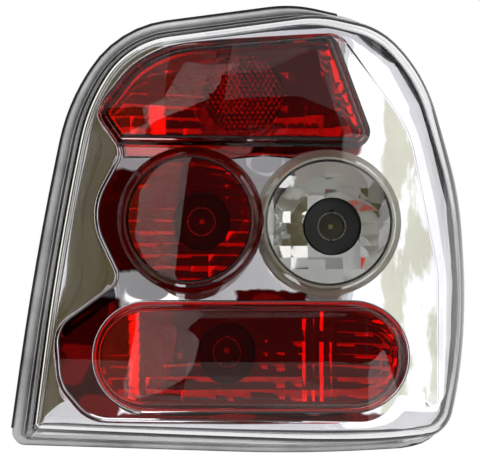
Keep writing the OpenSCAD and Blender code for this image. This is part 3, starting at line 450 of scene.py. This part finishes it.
# Painted sheen: the rim lip is dark plastic painted a pale grey, for the reflections in the clear lens flange
# over it
LIP_PAINTED_SHEEN = moulded("rim_lip_painted_sheen", (0.40, 0.40, 0.395), 0.2, grain=300, depth=0.04, wear=0.3)
CARRIER = moulded("carrier_moulding", (0.022, 0.022, 0.024), 0.42, grain=700)
RUBBER = moulded("rubber", (0.016, 0.016, 0.017), 0.68, grain=500, depth=0.3)
FOAM = moulded("foam", (0.03, 0.03, 0.032), 0.9, grain=420, depth=0.9)
SEALANT = moulded("sealant", (0.05, 0.05, 0.052), 0.55, grain=200, depth=0.4)
BOARD = moulded("insulating_board", (0.24, 0.23, 0.17), 0.75, grain=420, depth=0.4, wear=0.35)
PLATED = metal("plated_steel", (0.62, 0.60, 0.55), 0.24, brushed=(1, 0.1, 1), depth=0.15, var=0.2)
SPRING = metal("spring_steel", (0.60, 0.60, 0.61), 0.2, depth=0.1)
BRASS = metal("brass", (0.75, 0.58, 0.22), 0.24, brushed=(1, 1, 0.15), depth=0.12, var=0.2)

# Each CAD node that stays gets the material of its slot, or its own one
BY_SLOT = {"black_plastic": BLACK, "rubber": RUBBER, "sealant": SEALANT, "clear_plastic": CLEAR,
           "chromed_plastic": CHROME, "aluminised_plastic": ALU, "red_plastic": RED, "plated_steel": PLATED,
           "spring_steel": SPRING, "brass": BRASS, "insulating_board": BOARD}
OWN = {"bulb_carrier": CARRIER, "body_gasket": FOAM, "carrier_gasket": FOAM}
node_slot = {s["node"]: s["material_slot"] for s in frame["record"]["subparts"]}
for name, ob in nodes.items():
    me = ob.data
    me.materials.clear()
    me.materials.append(OWN.get(name, BY_SLOT[node_slot[name]]))
    me.polygons.foreach_set("use_smooth", [True] * len(me.polygons))
    me.set_sharp_from_angle(angle=math.radians(28))

# Clear lens: one shell with a rounded brow, its outside and its inside lofted in one go
FOOT = inset(RIM, FOOT_GAPS)
BROW_R, FOOT_DEPTH, FOOT_LIP = 6.0, 6.0, 0.6
LENS_STEPS = (12, 7)


def lens_ring(c, up, add):
    """A ring of the lens between its joint (up is 0) and its face (up is 1)."""
    p = outline(c, *LENS_STEPS)
    return ring(p, up * face_y(p[:, 0], p[:, 1]) + (1 - up) * joint_y(p[:, 0]) + add)


def lens_rings(t):
    """Rings of the lens surface that lies t under its outside, from the foot to near the middle."""
    foot, lean, lip = shrink(FOOT, t), inset(FOOT, WALL_LEANS, t), inset(FOOT, LIP_GAPS, t)
    r = BROW_R - t / 2
    rings = [lens_ring(foot, 0, FOOT_DEPTH), lens_ring(foot, 0, -FOOT_LIP)]
    rings.append(lens_ring(lip, 0, -FOOT_LIP - 0.4 * t))
    side = lens_ring(lean, 1, t + r)
    rings += [rings[2] + (side - rings[2]) * k / 4 for k in (0.3, 1, 2, 3)]
    for q in range(0, 90, 10):
        a = math.radians(q)
        rings.append(lens_ring(shrink(lean, r * (1 - math.cos(a))), 1, t + r * (1 - math.sin(a))))
    brow = outline(shrink(lean, r), *LENS_STEPS)
    for s in (1, 0.96, 0.91, 0.85, 0.78, 0.7, 0.61, 0.51, 0.4, 0.28, 0.15):
        p = brow * s
        rings.append(ring(p, face_y(p[:, 0], p[:, 1]) + t))
    return rings


def clear_lens():
    b = Build()
    outer, inner = lens_rings(0), lens_rings(LENS_T)
    bases = b.loft(list(reversed(outer)) + inner)
    n, middle = len(outer[0]), float(face_y(0, 0))
    b.tip(bases[0], n, (0, middle, 0), flip=True)
    b.tip(bases[-1], n, (0, middle + LENS_T, 0))
    b.make("clear_lens_shell", [CLEAR], 35, ["outer_lens"], "clear_plastic")


# Each step goes a share of the way from the lens foot to the rim's edge, at a height over the joint
LIP_STEPS = ((0, 1.2), (0, -0.6), (0.06, -1.1), (0.12, -0.7), (0.17, -0.4), (0.24, -1.4), (0.34, -2.2),
             (0.46, -2.6), (0.58, -2.6), (0.7, -2.2), (0.8, -1.6), (0.87, -1.0), (0.91, -0.9), (0.95, -1.1),
             (0.99, -0.9), (1, -0.2), (1, 1.4))


def rim_lip():
    """A glossy rounded lip on the housing's rim, from the lens foot out to the edge; its pale grey is painted
    sheen over the dark rim, standing in for the reflections in the clear lens flange that lies over it.
    """
    inner = outline(shrink(FOOT, -0.35), *LENS_STEPS)
    outer = outline(shrink(RIM, 0.7), *LENS_STEPS)
    y = joint_y(inner[:, 0])
    b = Build()
    b.loft([ring(inner + (outer - inner) * t, y + h) for t, h in LIP_STEPS])
    b.make("rim_lip", [LIP_PAINTED_SHEEN], 70, slot="black_plastic")


clear_lens()
rim_lip()

# Bezel: the waved edge, and the strip that is lofted from it out to the lens foot
ARC_STEPS = 10
FOOT_INSET = 3.7
STRIP_STOPS = (0, 0.06, 0.14, 0.24, 0.35, 0.47, 0.6, 0.73, 0.85, 0.93)
STRIP_ROWS = len(STRIP_STOPS)
LEVEL_ROW = 7
wave = outline(WAVE, ARC_STEPS, 1)


def wave_line(a, b):
    """The waved edge moved out by a inboard and moved in by b outboard."""
    out, back = outline(shrink(WAVE, -a), ARC_STEPS, 1), outline(shrink(WAVE, b), ARC_STEPS, 1)
    return out + (back - out) * fade((out[:, 0] - 70) / 10)[:, None]


def step_y(x):
    """Height of the waved edge: high inboard, and level with the floor outboard."""
    return -27 - 16 * fade((75 - x) / 110) + 0.8 * fade((x - 50) / 25)


def wave_bearings():
    """Bearing of each point of the waved edge, shared out along the side that it belongs to."""
    raw = [math.degrees(math.atan2(z, x)) for x, z, _ in WAVE]
    corner = [(a - 360 if a > raw[0] else a) + turn for a, turn in zip(raw, WAVE_TURNS)]
    out = []
    for i, p in enumerate(wave):
        c, at = divmod(i, ARC_STEPS + 2)
        a = c if at > ARC_STEPS / 2 else (c - 1) % len(WAVE)
        z = (a + 1) % len(WAVE)
        start, side = np.array(WAVE[a][:2]), np.array(WAVE[z][:2]) - np.array(WAVE[a][:2])
        t = float(np.clip((p - start) @ side / (side @ side), 0, 1))
        end = corner[z] - (360 if z == 0 else 0)
        out.append(math.radians(corner[a] + (end - corner[a]) * t))
    return out


def dish(x, z):
    """Tilt of the bezel floor: it leans up all over and falls away outboard."""
    up = 0.24 - 0.08 * fade((x - 55) / 20)
    out = 0.40 * fade((x - 50) / 18)
    wobble = 0.03 * np.sin(x / 9.0 + z / 13.0) + 0.03 * np.sin(z / 7.0 - x / 17.0)
    return out + wobble, up + 0.5 * wobble


def dish_normal(x, z):
    out, up = dish(x, z)
    return Vector((float(out), -1, float(up))).normalized()


def facing(v, face_normal):
    """The same direction, turned to the side of its face."""
    return -v if v.dot(face_normal) < 0 else v


def frame_rings():
    """Rings from the lens foot along the strip, over the bead and down to the floor."""
    out_line = outline(shrink(FOOT, FOOT_INSET))
    foot = np.array([at_bearing(out_line, a) for a in wave_bearings()])
    foot_joint, edge = joint_y(foot[:, 0]), step_y(wave[:, 0])
    bead = 0.42 - 0.36 * fade((wave[:, 0] - 45) / 25)
    outward = wave_line(0.5, -0.5) - wave_line(-0.5, 0.5)

    def strip(t):
        share = t + 0.12 * math.sin(math.pi * t)
        lump = -1.2 * math.sin(math.pi * t) ** 1.5
        return ring(foot + (wave - foot) * t, foot_joint - 3 + (edge - foot_joint + 3) * share + lump)

    def grown(d):
        return wave + outward * np.asarray(d).reshape(-1, 1)

    rings = [ring(foot, foot_joint - 0.5)] + [strip(t) for t in STRIP_STOPS]
    for a in range(0, 181, 30):
        r = math.radians(a)
        rings.append(ring(grown(bead * math.cos(r)), edge + bead - bead * math.sin(r)))
    rings += [ring(grown(-bead), edge + bead + (FLOOR_Y - edge - bead) * t) for t in (0.5, 0.9)]
    rings += [ring(grown(-bead - 0.3), FLOOR_Y - 0.05), ring(grown(-bead - 1.0), FLOOR_Y)]
    return rings


def frame_normals(me):
    """Even slope along the inboard strip, bright beside the foot, and one level outboard."""
    n, out = len(wave), []
    for poly in me.polygons:
        row = poly.index // n
        for li in poly.loop_indices:
            v = me.loops[li].vertex_index
            line, (x, z) = v // n, wave[v % n]
            own = me.corner_normals[li].vector.copy()
            on_strip = (1 <= row < STRIP_ROWS) * fade(line - 0.5)
            share = float(fade((-30 - x) / 30) * fade((z + 100) / 12) * on_strip)
            by_foot = float(1 - fade((line - 3.4) / 1.6))
            slope = Vector((-0.62, -1, 0.04 + 0.001 * z)).normalized() * (1 - by_foot)
            slope = facing((slope + Vector((-0.085, -0.85, 0.425)) * by_foot).normalized(), own)
            level = float(fade((x - 50) / 15)) * (row >= LEVEL_ROW)
            own = own * (1 - share) + slope * share
            flat = facing(dish_normal(x, z), poly.normal)
            out.append((own * (1 - level) + flat * level).normalized())
    me.normals_split_custom_set(out)


def bezel_frame():
    b = Build()
    b.loft(frame_rings())
    frame_normals(b.make("bezel_frame", [CHROME], 50, ["bezel"], "chromed_plastic").data)


# Bezel floor: a plate with the four openings, and a fine sheet on it that carries the dished look
LAND, PLATE_T, SHEEN_STEP = 3.6, 2, 1.5
SHEEN_X, SHEEN_Z = (-112, 118), (-116, 118)
plate_line = wave_line(-0.9, 0.9)
openings = [outline(shrink(UPPER, LAND), 10), outline(shrink(LOWER, LAND), 24), circle(STOP, MOUTH_R + 1),
            circle(REVERSE, MOUTH_R + 1)]


def holed_plate(outer, holes, y0, y1):
    """A flat plate with holes, with its walls."""
    loops = [[Vector((p[0], p[1], 0)) for p in line] for line in [outer] + holes]
    flat = [p for line in loops for p in line]
    m, b = len(flat), Build()
    b.add([(p.x, y0, p.y) for p in flat])
    b.add([(p.x, y1, p.y) for p in flat])
    for t in tessellate_polygon(loops):
        s = (flat[t[1]] - flat[t[0]]).cross(flat[t[2]] - flat[t[0]]).z
        t = tuple(t) if s > 0 else tuple(reversed(t))
        b.face(t)
        b.face(tuple(k + m for k in reversed(t)))
    base = 0
    for line in loops:
        k = len(line)
        for i in range(k):
            j = (i + 1) % k
            b.face((base + i, base + i + m, base + j + m, base + j))
        base += k
    return b


def bezel_floor():
    b = holed_plate(plate_line, openings, FLOOR_Y + 0.05, FLOOR_Y + PLATE_T)
    me = b.make("bezel_floor", [FLOOR_CHROME_PAINTED_REFLECTIONS], 30, slot="chromed_plastic").data
    out = []
    for poly in me.polygons:
        for li in poly.loop_indices:
            co = me.vertices[me.loops[li].vertex_index].co / MM
            out.append(dish_normal(co.x, co.z) if poly.normal.y < -0.9 else poly.normal.copy())
    me.normals_split_custom_set(out)


def bezel_sheen():
    X, Z = np.meshgrid(np.arange(*SHEEN_X, SHEEN_STEP), np.arange(*SHEEN_Z, SHEEN_STEP), indexing="ij")
    good = inside(X, Z, plate_line)
    for line in openings:
        good &= ~inside(X, Z, line)
    b, index = Build(), -np.ones(X.shape, int)
    for i, j in zip(*np.nonzero(good)):
        index[i, j] = b.add([(X[i, j], FLOOR_Y, Z[i, j])])
    for i in range(X.shape[0] - 1):
        for j in range(X.shape[1] - 1):
            q = (index[i, j], index[i + 1, j], index[i + 1, j + 1], index[i, j + 1])
            if min(q) >= 0:
                b.face(q)
    sheet = b.make("bezel_floor_sheen", [FLOOR_CHROME_PAINTED_REFLECTIONS], None, slot="chromed_plastic")
    out, up = dish(X[good], Z[good])
    normals = np.stack([out, -np.ones_like(out), up], 1)
    normals /= np.linalg.norm(normals, axis=1)[:, None]
    sheet.data.normals_split_custom_set_from_vertices([tuple(v) for v in normals])


def bezel_collar():
    """Rounded collar round the lower lens; each step goes in from the opening and up from the floor."""
    steps = ((0, 0), (0, 2.0), (0.35, 2.6), (2.1, 2.6), (2.6, 2.1), (2.6, 0))
    b = Build()
    b.loft([ring(outline(shrink(LOWER, d), 28), FLOOR_Y - h) for d, h in steps])
    b.make("bezel_collar", [CHROME], 50, slot="chromed_plastic")


bezel_frame()
bezel_floor()
bezel_sheen()
bezel_collar()

# Inner lenses: hollow caps that stand on the floor, with rounded brows and crowned faces
CAP_H, WALL, CROWN, EDGE = 20.0, 2.4, 2.5, 2.0
ROUND_CROWN, INNER_CROWN, FLANGE_STEP = 0.9, 1.4, 0.6
CAP_FOOT_R, CAP_FACE_R, CAP_INNER_R = 41.3, 36.3, 33.9
CAP_POINTS, RIM_BANDS = 128, 11
TRIM_R = 41.6
FACE_Y = FLOOR_Y - CAP_H


def cap_profile():
    """Outside and inside of a round cap as radius and height, the outside from its mouth to its tip."""
    shoulder_r, shoulder_h = CAP_FOOT_R - 1.6, WALL + FLANGE_STEP
    brow_r, flat_r = CAP_FACE_R + 0.3, CAP_FACE_R - EDGE
    out = [(MOUTH_R + 1, 0), (CAP_FOOT_R, 0), (CAP_FOOT_R, WALL), (shoulder_r, shoulder_h)]
    out += [(shoulder_r + (brow_r - shoulder_r) * k / 3, shoulder_h + (CAP_H - EDGE - shoulder_h) * k / 3)
            for k in (1, 2, 3)]
    for a in range(0, 91, 15):
        q = math.radians(a)
        out.append((CAP_FACE_R - EDGE * (1 - math.cos(q)), CAP_H - EDGE * (1 - math.sin(q))))
    out += [(flat_r * (1 - k / 12), CAP_H + ROUND_CROWN * (1 - (1 - k / 12) ** 2)) for k in range(1, 12)]
    back = [(CAP_INNER_R * k / 12, CAP_H - WALL + 0.5 * ROUND_CROWN * (1 - (k / 12) ** 2))
            for k in range(1, 13)]
    return out, back + [(MOUTH_R + 0.4, WALL)]


def trimmed(line, p, r):
    """Draws the points that lie inside a circle out onto it."""
    v = line - np.array(p)
    d = np.linalg.norm(v, axis=1)
    return np.where((d < r)[:, None], np.array(p) + v / d[:, None] * r, line)


def round_cap(name, p, material, rim_material, slot_name, node, trim=None):
    """A round cap at p; trim is the middle of a neighbour that its edge is cut back for."""
    outer, inner = cap_profile()
    b = Build()

    def rings(profile):
        lines = [(circle(p, r, CAP_POINTS), h) for r, h in profile]
        return [ring(trimmed(line, trim, TRIM_R) if trim else line, FLOOR_Y - h) for line, h in lines]

    first = b.loft(rings(outer))
    for i in range(RIM_BANDS * CAP_POINTS):
        b.mat[i] = 1
    b.tip(first[-1], CAP_POINTS, (p[0], FACE_Y - ROUND_CROWN, p[1]))
    second = b.loft(rings(inner))
    b.tip(second[0], CAP_POINTS, (p[0], FACE_Y + WALL - 0.5 * ROUND_CROWN, p[1]), flip=True)
    b.band(second[-1], first[0], CAP_POINTS)
    b.make(name, [material, rim_material], 40, [node], slot_name)


def shaped_cap(name, corners, leans, k, node):
    """A cap over an outline; leans says how far each side leans in, k is the steps in a fillet."""
    face = inset(corners, leans)
    mid = outline(shrink(face, EDGE), k)
    cen = (mid.max(0) + mid.min(0)) / 2
    crown = (0.12, 0.25, 0.4, 0.55, 0.7, 0.82, 0.92, 1)
    rings = [ring(cen + (mid - cen) * s, FACE_Y - CROWN * (1 - s * s)) for s in crown]
    for a in range(75, -1, -15):
        q = math.radians(a)
        brow = outline(shrink(face, EDGE * (1 - math.cos(q))), k)
        rings.append(ring(brow, FACE_Y + EDGE * (1 - math.sin(q))))
    low_ring = ring(outline(shrink(corners, 1.6), k), FLOOR_Y - WALL - FLANGE_STEP)
    rings += [rings[-1] + (low_ring - rings[-1]) * t for t in (0.33, 0.66)] + [low_ring]
    flange, mouth = outline(corners, k), outline(shrink(corners, LAND), k)
    back = outline(shrink(face, WALL), k)
    rings += [ring(flange, FLOOR_Y - WALL), ring(flange, FLOOR_Y), ring(mouth, FLOOR_Y),
              ring(mouth, FLOOR_Y - WALL), ring(back, FACE_Y + WALL)]
    rings += [ring(cen + (back - cen) * s, FACE_Y + WALL - INNER_CROWN * (1 - s * s))
              for s in (0.8, 0.55, 0.3)]
    b = Build()
    base = b.loft(rings)
    b.tip(base[0], len(mid), (cen[0], FACE_Y - CROWN, cen[1]), flip=True)
    b.tip(base[-1], len(mid), (cen[0], FACE_Y + WALL - INNER_CROWN, cen[1]))
    b.make(name, [RED], 40, [node], "red_plastic")


round_cap("stop_cap", STOP, RED, RED_RIM, "red_plastic", "stop_lens")
round_cap("reverse_cap", REVERSE, CLEAR_CAP, CLEAR_RIM, "clear_plastic", "reverse_lens", STOP)
shaped_cap("upper_cap", UPPER, [3, 3.5, 3, 2.5, 4.5, 3], 12, "upper_lens")
shaped_cap("lower_cap", shrink(LOWER, 2.9), [1.5, 0.6, 3.5, 2.8], 24, "lower_lens")

# Reflectors: bowls of small pillows, each of which mirrors its own piece of the room
RIM_Y, DEEP, HOLE_R, REFLECTOR_T, NECK_Y = -10.0, 24.0, 16.5, 1.8, 20
FACET_W, FACET_H, FACET_STEPS, PILLOW, OVERLAP = 10.0, 6.4, 6, 0.12, 4.0
MOUTH_INSET = LAND + 0.6


def bowl_y(u):
    return RIM_Y + DEEP * (1 - np.minimum(1, (u / 0.85) ** 2))


def bowl_walls(b, cen, hw, hh, bulb, edge):
    """The wall round the mouth, and the neck that stands back from the bulb hole."""
    outside = grow_line(edge, REFLECTOR_T)
    b.loft([ring(edge, RIM_Y + 1.0), ring(edge, FLOOR_Y + 2), ring(outside, FLOOR_Y + 2),
            ring(outside, RIM_Y + 1.6)])
    hole, neck = circle(bulb, HOLE_R, 72), circle(bulb, HOLE_R + REFLECTOR_T, 72)
    y = bowl_y(np.hypot((hole[:, 0] - cen[0]) / hw, (hole[:, 1] - cen[1]) / hh)) - 0.4
    b.loft([ring(hole, NECK_Y), ring(hole, y)])
    b.loft([ring(neck, y + REFLECTOR_T), ring(neck, NECK_Y), ring(hole, NECK_Y)])


def bowl(name, cen, hw, hh, bulb, edge, node, facet):
    """A bowl of half width hw and half height hh; facet gives the tilt at a point of a pillow."""
    nx, nz = math.ceil(hw / FACET_W) * 2, math.ceil(hh / FACET_H) * 2
    gx = (hw + OVERLAP) * (2 * np.arange(nx + 1) / nx - 1)
    gz = (hh + OVERLAP) * (2 * np.arange(nz + 1) / nz - 1)
    depth = bowl_y(np.hypot(gx[:, None] / hw, gz[None, :] / hh))
    along = np.arange(FACET_STEPS + 1) / FACET_STEPS
    U, V = (g.ravel() for g in np.meshgrid(along, along, indexing="ij"))
    b, rng, tilts, stride = Build(), np.random.default_rng(7), {}, FACET_STEPS + 1
    for i in range(nx):
        for j in range(nz):
            x = cen[0] + (gx[i] + (gx[i + 1] - gx[i]) * U)
            z = cen[1] + (gz[j] + (gz[j + 1] - gz[j]) * V)
            y = (depth[i, j] * (1 - U) * (1 - V) + depth[i + 1, j] * U * (1 - V)
                 + depth[i, j + 1] * (1 - U) * V + depth[i + 1, j + 1] * U * V)
            y -= PILLOW * 16 * U * (1 - U) * V * (1 - V)
            far = np.hypot(x - bulb[0], z - bulb[1])
            keep = inside(x, z, edge) & (far > HOLE_R)
            if not keep.any():
                continue
            # Points inside the bulb hole are drawn out onto its edge
            push = np.where(far <= HOLE_R, HOLE_R / np.maximum(far, 0.01), 1)
            base = b.add(np.stack([bulb[0] + (x - bulb[0]) * push, y, bulb[1] + (z - bulb[1]) * push], 1))
            mid_x, mid_z = cen[0] + (gx[i] + gx[i + 1]) / 2, cen[1] + (gz[j] + gz[j + 1]) / 2
            jit = rng.uniform(-1, 1, 2)
            for k, (u, v) in enumerate(zip(U, V)):
                ax, az = facet(mid_x, mid_z, 2 * u - 1, 2 * v - 1, jit)
                tilts[base + k] = Vector((float(ax), -1, float(az))).normalized()
            for s in range(FACET_STEPS):
                for t in range(FACET_STEPS):
                    c = s * stride + t
                    q = [c, c + stride, c + stride + 1, c + 1]
                    if keep[q].any():
                        b.face(tuple(base + k for k in q))
    bowl_walls(b, cen, hw, hh, bulb, edge)
    me = b.make(name, [ALU], 20, [node], "aluminised_plastic").data
    own = [corner.vector.copy() for corner in me.corner_normals]
    me.normals_split_custom_set([tilts.get(loop.vertex_index, n) for loop, n in zip(me.loops, own)])


def stop_facet(x, z, u, v, jit):
    """Flat columns with a rise in each tile, so that they break up into dashes."""
    side, rise = (x - STOP[0]) / MOUTH_R, (z - STOP[1]) / MOUTH_R
    return 0.05 - 0.03 * side + 0.02 * u + 0.03 * jit[0], 0.05 - 0.07 * rise + 0.085 * v + 0.03 * jit[1]


def reverse_facet(x, z, u, v, jit):
    """A dark olive block left of the bulb hole, and pale tiles round it."""
    side, rise = (x - REVERSE[0]) / MOUTH_R, (z - REVERSE[1]) / MOUTH_R
    left = fade((-side - 0.12) / 0.15) * fade((side + 0.85) / 0.15) * fade((0.62 - abs(rise)) / 0.1)
    ax = 0.15 * max(side, -0.25) - 0.10 * left + 0.012 * u + 0.03 * jit[0]
    return ax, 0.22 - 0.17 * left + 0.018 * v + 0.07 * jit[1]


def upper_facet(x, z, u, v, jit):
    """One bright block at the left, and upright ribs at the right."""
    if -49 < x < -40 and 52 < z < 74:
        return -0.03 + 0.03 * u, -0.04 + 0.04 * v
    ribs = fade((x - 26) / 4) * fade((60 - x) / 4)
    ax = 0.05 + 0.02 * u + 0.03 * jit[0] - ribs * (0.02 + 0.03 * math.sin(x * 9 + u * 5))
    return ax, 0.035 - 0.05 * (z - 77) / 25 + (0.06 - 0.04 * ribs) * v + 0.02 * jit[1]


def lower_facet(x, z, u, v, jit):
    """One bright column at the left, dashed columns right of the middle, and long rows at the right."""
    if -66 < x < -55:
        return -0.01 + 0.05 * u, 0.03 + 0.05 * v
    rise = (z - LOWER_Z) / LOWER_HALF_H
    rows = fade((x - 52) / 4)
    cols = fade((x - 30) / 4) * (1 - rows)
    ax = 0.06 + (0.03 - 0.02 * rows) * u + 0.03 * jit[0] - cols * (0.08 + 0.06 * math.sin(u * 6))
    return ax, 0.09 - 0.09 * rise + (0.07 + 0.05 * rows) * v + 0.03 * jit[1]


bowl("reflector_stop_bright", STOP, MOUTH_R, MOUTH_R, STOP_BULB, circle(STOP, MOUTH_R), "reflector_stop",
     stop_facet)
bowl("reflector_reverse_bright", REVERSE, MOUTH_R, MOUTH_R, REVERSE_BULB, circle(REVERSE, MOUTH_R),
     "reflector_reverse", reverse_facet)
bowl("reflector_upper_bright", (-3, 77.5), 66, 21, UPPER_BULB,
     outline(shrink(UPPER, MOUTH_INSET + REFLECTOR_T), 8), "reflector_upper", upper_facet)
bowl("reflector_lower_bright", ((LOWER_LEFT + LOWER_RIGHT) / 2, LOWER_Z),
     (LOWER_RIGHT - LOWER_LEFT) / 2 - MOUTH_INSET, LOWER_HALF_H - MOUTH_INSET, LOWER_BULB,
     outline(shrink(LOWER, MOUTH_INSET + REFLECTOR_T), 16), "reflector_lower", lower_facet)

# Retro-reflector: a disc with a honeycomb of small prisms on its back
DISC_R, CELL, DISC_T, PRISM_Y, PRISM_H = 22.4, 1.7, 2.4, 1.9, 1.2


def reflex_prisms():
    b, (cx, cz), front_y = Build(), UPPER_BULB, FACE_Y + WALL
    rim = circle(UPPER_BULB, DISC_R)
    disc = b.loft([ring(rim, front_y + DISC_T), ring(rim, front_y)])
    b.tip(disc[-1], len(rim), (cx, front_y, cz))
    rows, columns = int(DISC_R / (CELL * 1.5)) + 2, 14
    for j in range(-rows, rows + 1):
        for i in range(-columns, columns + 1):
            hx, hz = (i + 0.5 * (j % 2)) * CELL * math.sqrt(3), j * 1.5 * CELL
            if math.hypot(hx, hz) > DISC_R + CELL * 0.2:
                continue
            six = []
            for k in range(6):
                a = math.radians(60 * k + 30)
                x, z = hx + CELL * math.cos(a), hz + CELL * math.sin(a)
                pull = min(1, DISC_R / math.hypot(x, z))
                six.append((cx + x * pull, front_y + PRISM_Y, cz + z * pull))
            base = b.add(six + [(cx + hx, front_y + PRISM_Y + PRISM_H, cz + hz)])
            for k in range(6):
                b.face((base + (k + 1) % 6, base + k, base + 6))
    b.make("reflex_prisms", [REFLEX], 15, ["reflex_disc"], "red_plastic")


reflex_prisms()


def stage(name, corners, material, hidden=True):
    """One flat polygon of the studio; a hidden one is seen by mirrors and glass only."""
    me = bpy.data.meshes.new(name)
    me.from_pydata(corners, [], [tuple(range(len(corners)))])
    me.materials.append(material)
    ob = bpy.data.objects.new(name, me)
    scene.collection.objects.link(ob)
    if hidden:
        ob.visible_camera = False
        ob.visible_shadow = False
        ob.visible_diffuse = False


def glow(name, color, strength, inner=None):
    """Emission of a card; inner is its strength for what lies behind the clear lens."""
    m = Mat("card_" + name)
    em = m.node("ShaderNodeEmission")
    em.inputs["Color"].default_value = (*color, 1)
    em.inputs["Strength"].default_value = strength
    if inner is not None:
        depth = m.node("ShaderNodeLightPath").outputs["Transmission Depth"]
        deep = m.math("GREATER_THAN", depth, 2.5)
        m.link(m.math("MULTIPLY_ADD", deep, inner - strength, strength), em.inputs["Strength"])
    m.link(em.outputs["Emission"], m.o.inputs["Surface"])
    return m.m


def card(name, centre, size, normal, color, strength=1.0, inner=None):
    """A rectangular reflection card that faces along normal."""
    z = Vector(normal).normalized()
    x = Vector((0, 0, 1)).cross(z)
    x = x.normalized() if x.length > 1e-4 else Vector((1, 0, 0))
    x, y, c = x * size[0] / 2, z.cross(x) * size[1] / 2, Vector(centre)
    corners = [c - x - y, c + x - y, c + x + y, c - x + y]
    stage("card_" + name, [tuple(p) for p in corners], glow(name, color, strength, inner))


def area_light(name, place, size, power):
    """A soft lamp aimed at the object, unseen in mirrors and glass."""
    lamp = bpy.data.lights.new(name, "AREA")
    lamp.shape = "RECTANGLE"
    lamp.size, lamp.size_y = size
    lamp.energy = power
    ob = bpy.data.objects.new(name, lamp)
    scene.collection.objects.link(ob)
    ob.location = place
    ob.rotation_euler = (-Vector(place)).to_track_quat("-Z", "Y").to_euler()
    ob.visible_glossy = False
    ob.visible_transmission = False


# White world: full strength to the camera, in mirrors and in glass, softer as a light
WORLD_SEEN, WORLD_LIGHT = 1.0, 0.45
world = bpy.data.worlds.new("world")
scene.world = world
world.use_nodes = True
sky = Tree(world.node_tree)
background = sky.t.nodes["Background"]
background.inputs["Color"].default_value = (1, 1, 1, 1)
sky.link(sky.math("MULTIPLY_ADD", sky.seen(), WORLD_SEEN - WORLD_LIGHT, WORLD_LIGHT),
         background.inputs["Strength"])

# Pale floor under the object: plain white glow to the camera, in mirrors and in glass, and pale matte to all
# other rays
FLOOR_Z = -0.30
FLOOR_X, FLOOR_DEPTH = (-0.5, 2.0), (-0.5, 1.2)
fm = Mat("floor", Roughness=0.9)
fm.link(fm.ramp(fm.noise(6, 4), [(0.3, 0.86), (0.7, 0.9)]), fm.b.inputs["Base Color"])
white, both = fm.node("ShaderNodeEmission"), fm.node("ShaderNodeMixShader")
white.inputs["Strength"].default_value = 0.9
fm.link(fm.seen(), both.inputs["Fac"])
fm.link(fm.b.outputs["BSDF"], both.inputs[1])
fm.link(white.outputs["Emission"], both.inputs[2])
fm.link(both.outputs["Shader"], fm.o.inputs["Surface"])
stage("floor", [(FLOOR_X[0], FLOOR_DEPTH[0], FLOOR_Z), (FLOOR_X[1], FLOOR_DEPTH[0], FLOOR_Z),
                (FLOOR_X[1], FLOOR_DEPTH[1], FLOOR_Z), (FLOOR_X[0], FLOOR_DEPTH[1], FLOOR_Z)],
      fm.m, hidden=False)

area_light("key", (-0.7, -1.1, 0.9), (0.8, 0.8), 12)
area_light("fill", (0.9, -1.0, 0.3), (0.9, 0.9), 6)
area_light("top", (0, -0.2, 1.3), (1.2, 0.8), 7)

# What the mirrors see: a dark room in front with a pale ceiling, a white side and an olive side
FRONT = -2.2
DOME = [(-0.58, 0.43), (-0.27, 0.54), (0.0, 0.59), (0.24, 0.60), (0.39, 0.53), (0.425, 0.43), (0.45, 0.3)]
dark_front = [(-2.8, -0.60), (-2.8, 0.43)] + DOME + [(0.95, 0.2), (0.95, -0.60)]
stage("card_front", [(x, FRONT, z) for x, z in dark_front], glow("front", (1.0, 0.97, 0.95), 0.003, 0.055))
BACK = (0, 1, 0)
card("front_olive", (-0.80, FRONT + 0.01, 0.0), (1.0, 1.1), BACK, (1.0, 0.85, 0.42), 0.003, 0.13)
card("front_right", (2.2, FRONT + 0.01, -0.25), (2.5, 0.72), BACK, (1, 1, 1), 0.003, 1.5)
card("front_low", (-0.9, FRONT - 0.01, -1.63), (3.8, 2.06), BACK, (0.30, 0.27, 0.25), 1.0, 1.6)
PANE_W, PANE_H, PANE_OUTER = 0.45, 0.72, 0.24
SHADES = (0.62, 0.36, 0.70, 0.46, 0.80, 0.40, 0.66, 0.50, 0.74)
for i in range(9):
    for j in range(3):
        centre = (-2.6 + PANE_W * i, FRONT - 0.01, 0.78 + PANE_H * j)
        shade = SHADES[(i + 4 * j) % len(SHADES)]
        card(f"front_high_{i}_{j}", centre, (PANE_W, PANE_H), BACK, (1.0, 0.99, 0.98), PANE_OUTER, shade)
card("red_echo", (0.64, FRONT + 0.02, 1.2), (0.06, 1.2), BACK, (0.9, 0.03, 0.01), 0.0, 1.0)
card("ceiling", (1.3, -0.5, 2.8), (3.4, 4.6), (0, 0, -1), (0.80, 0.80, 0.82))
card("left", (-1.5, -0.75, 0.8), (2.9, 3.8), (1, 0, 0), (0.11, 0.09, 0.04))
card("right", (1.7, -0.9, 0.6), (2.6, 2.4), (-1, 0, 0), (1.0, 1.0, 0.99), 0.02, 1.6)
SOFTBOX_Y = -1.2
softbox = [(-0.17, 0.5), (-0.02, 0.5), (-0.14, -0.45), (-0.27, -0.45)]
stage("softbox", [(x, SOFTBOX_Y, z) for x, z in softbox], glow("softbox", (1.0, 0.97, 0.95), 0.0, 1.9))
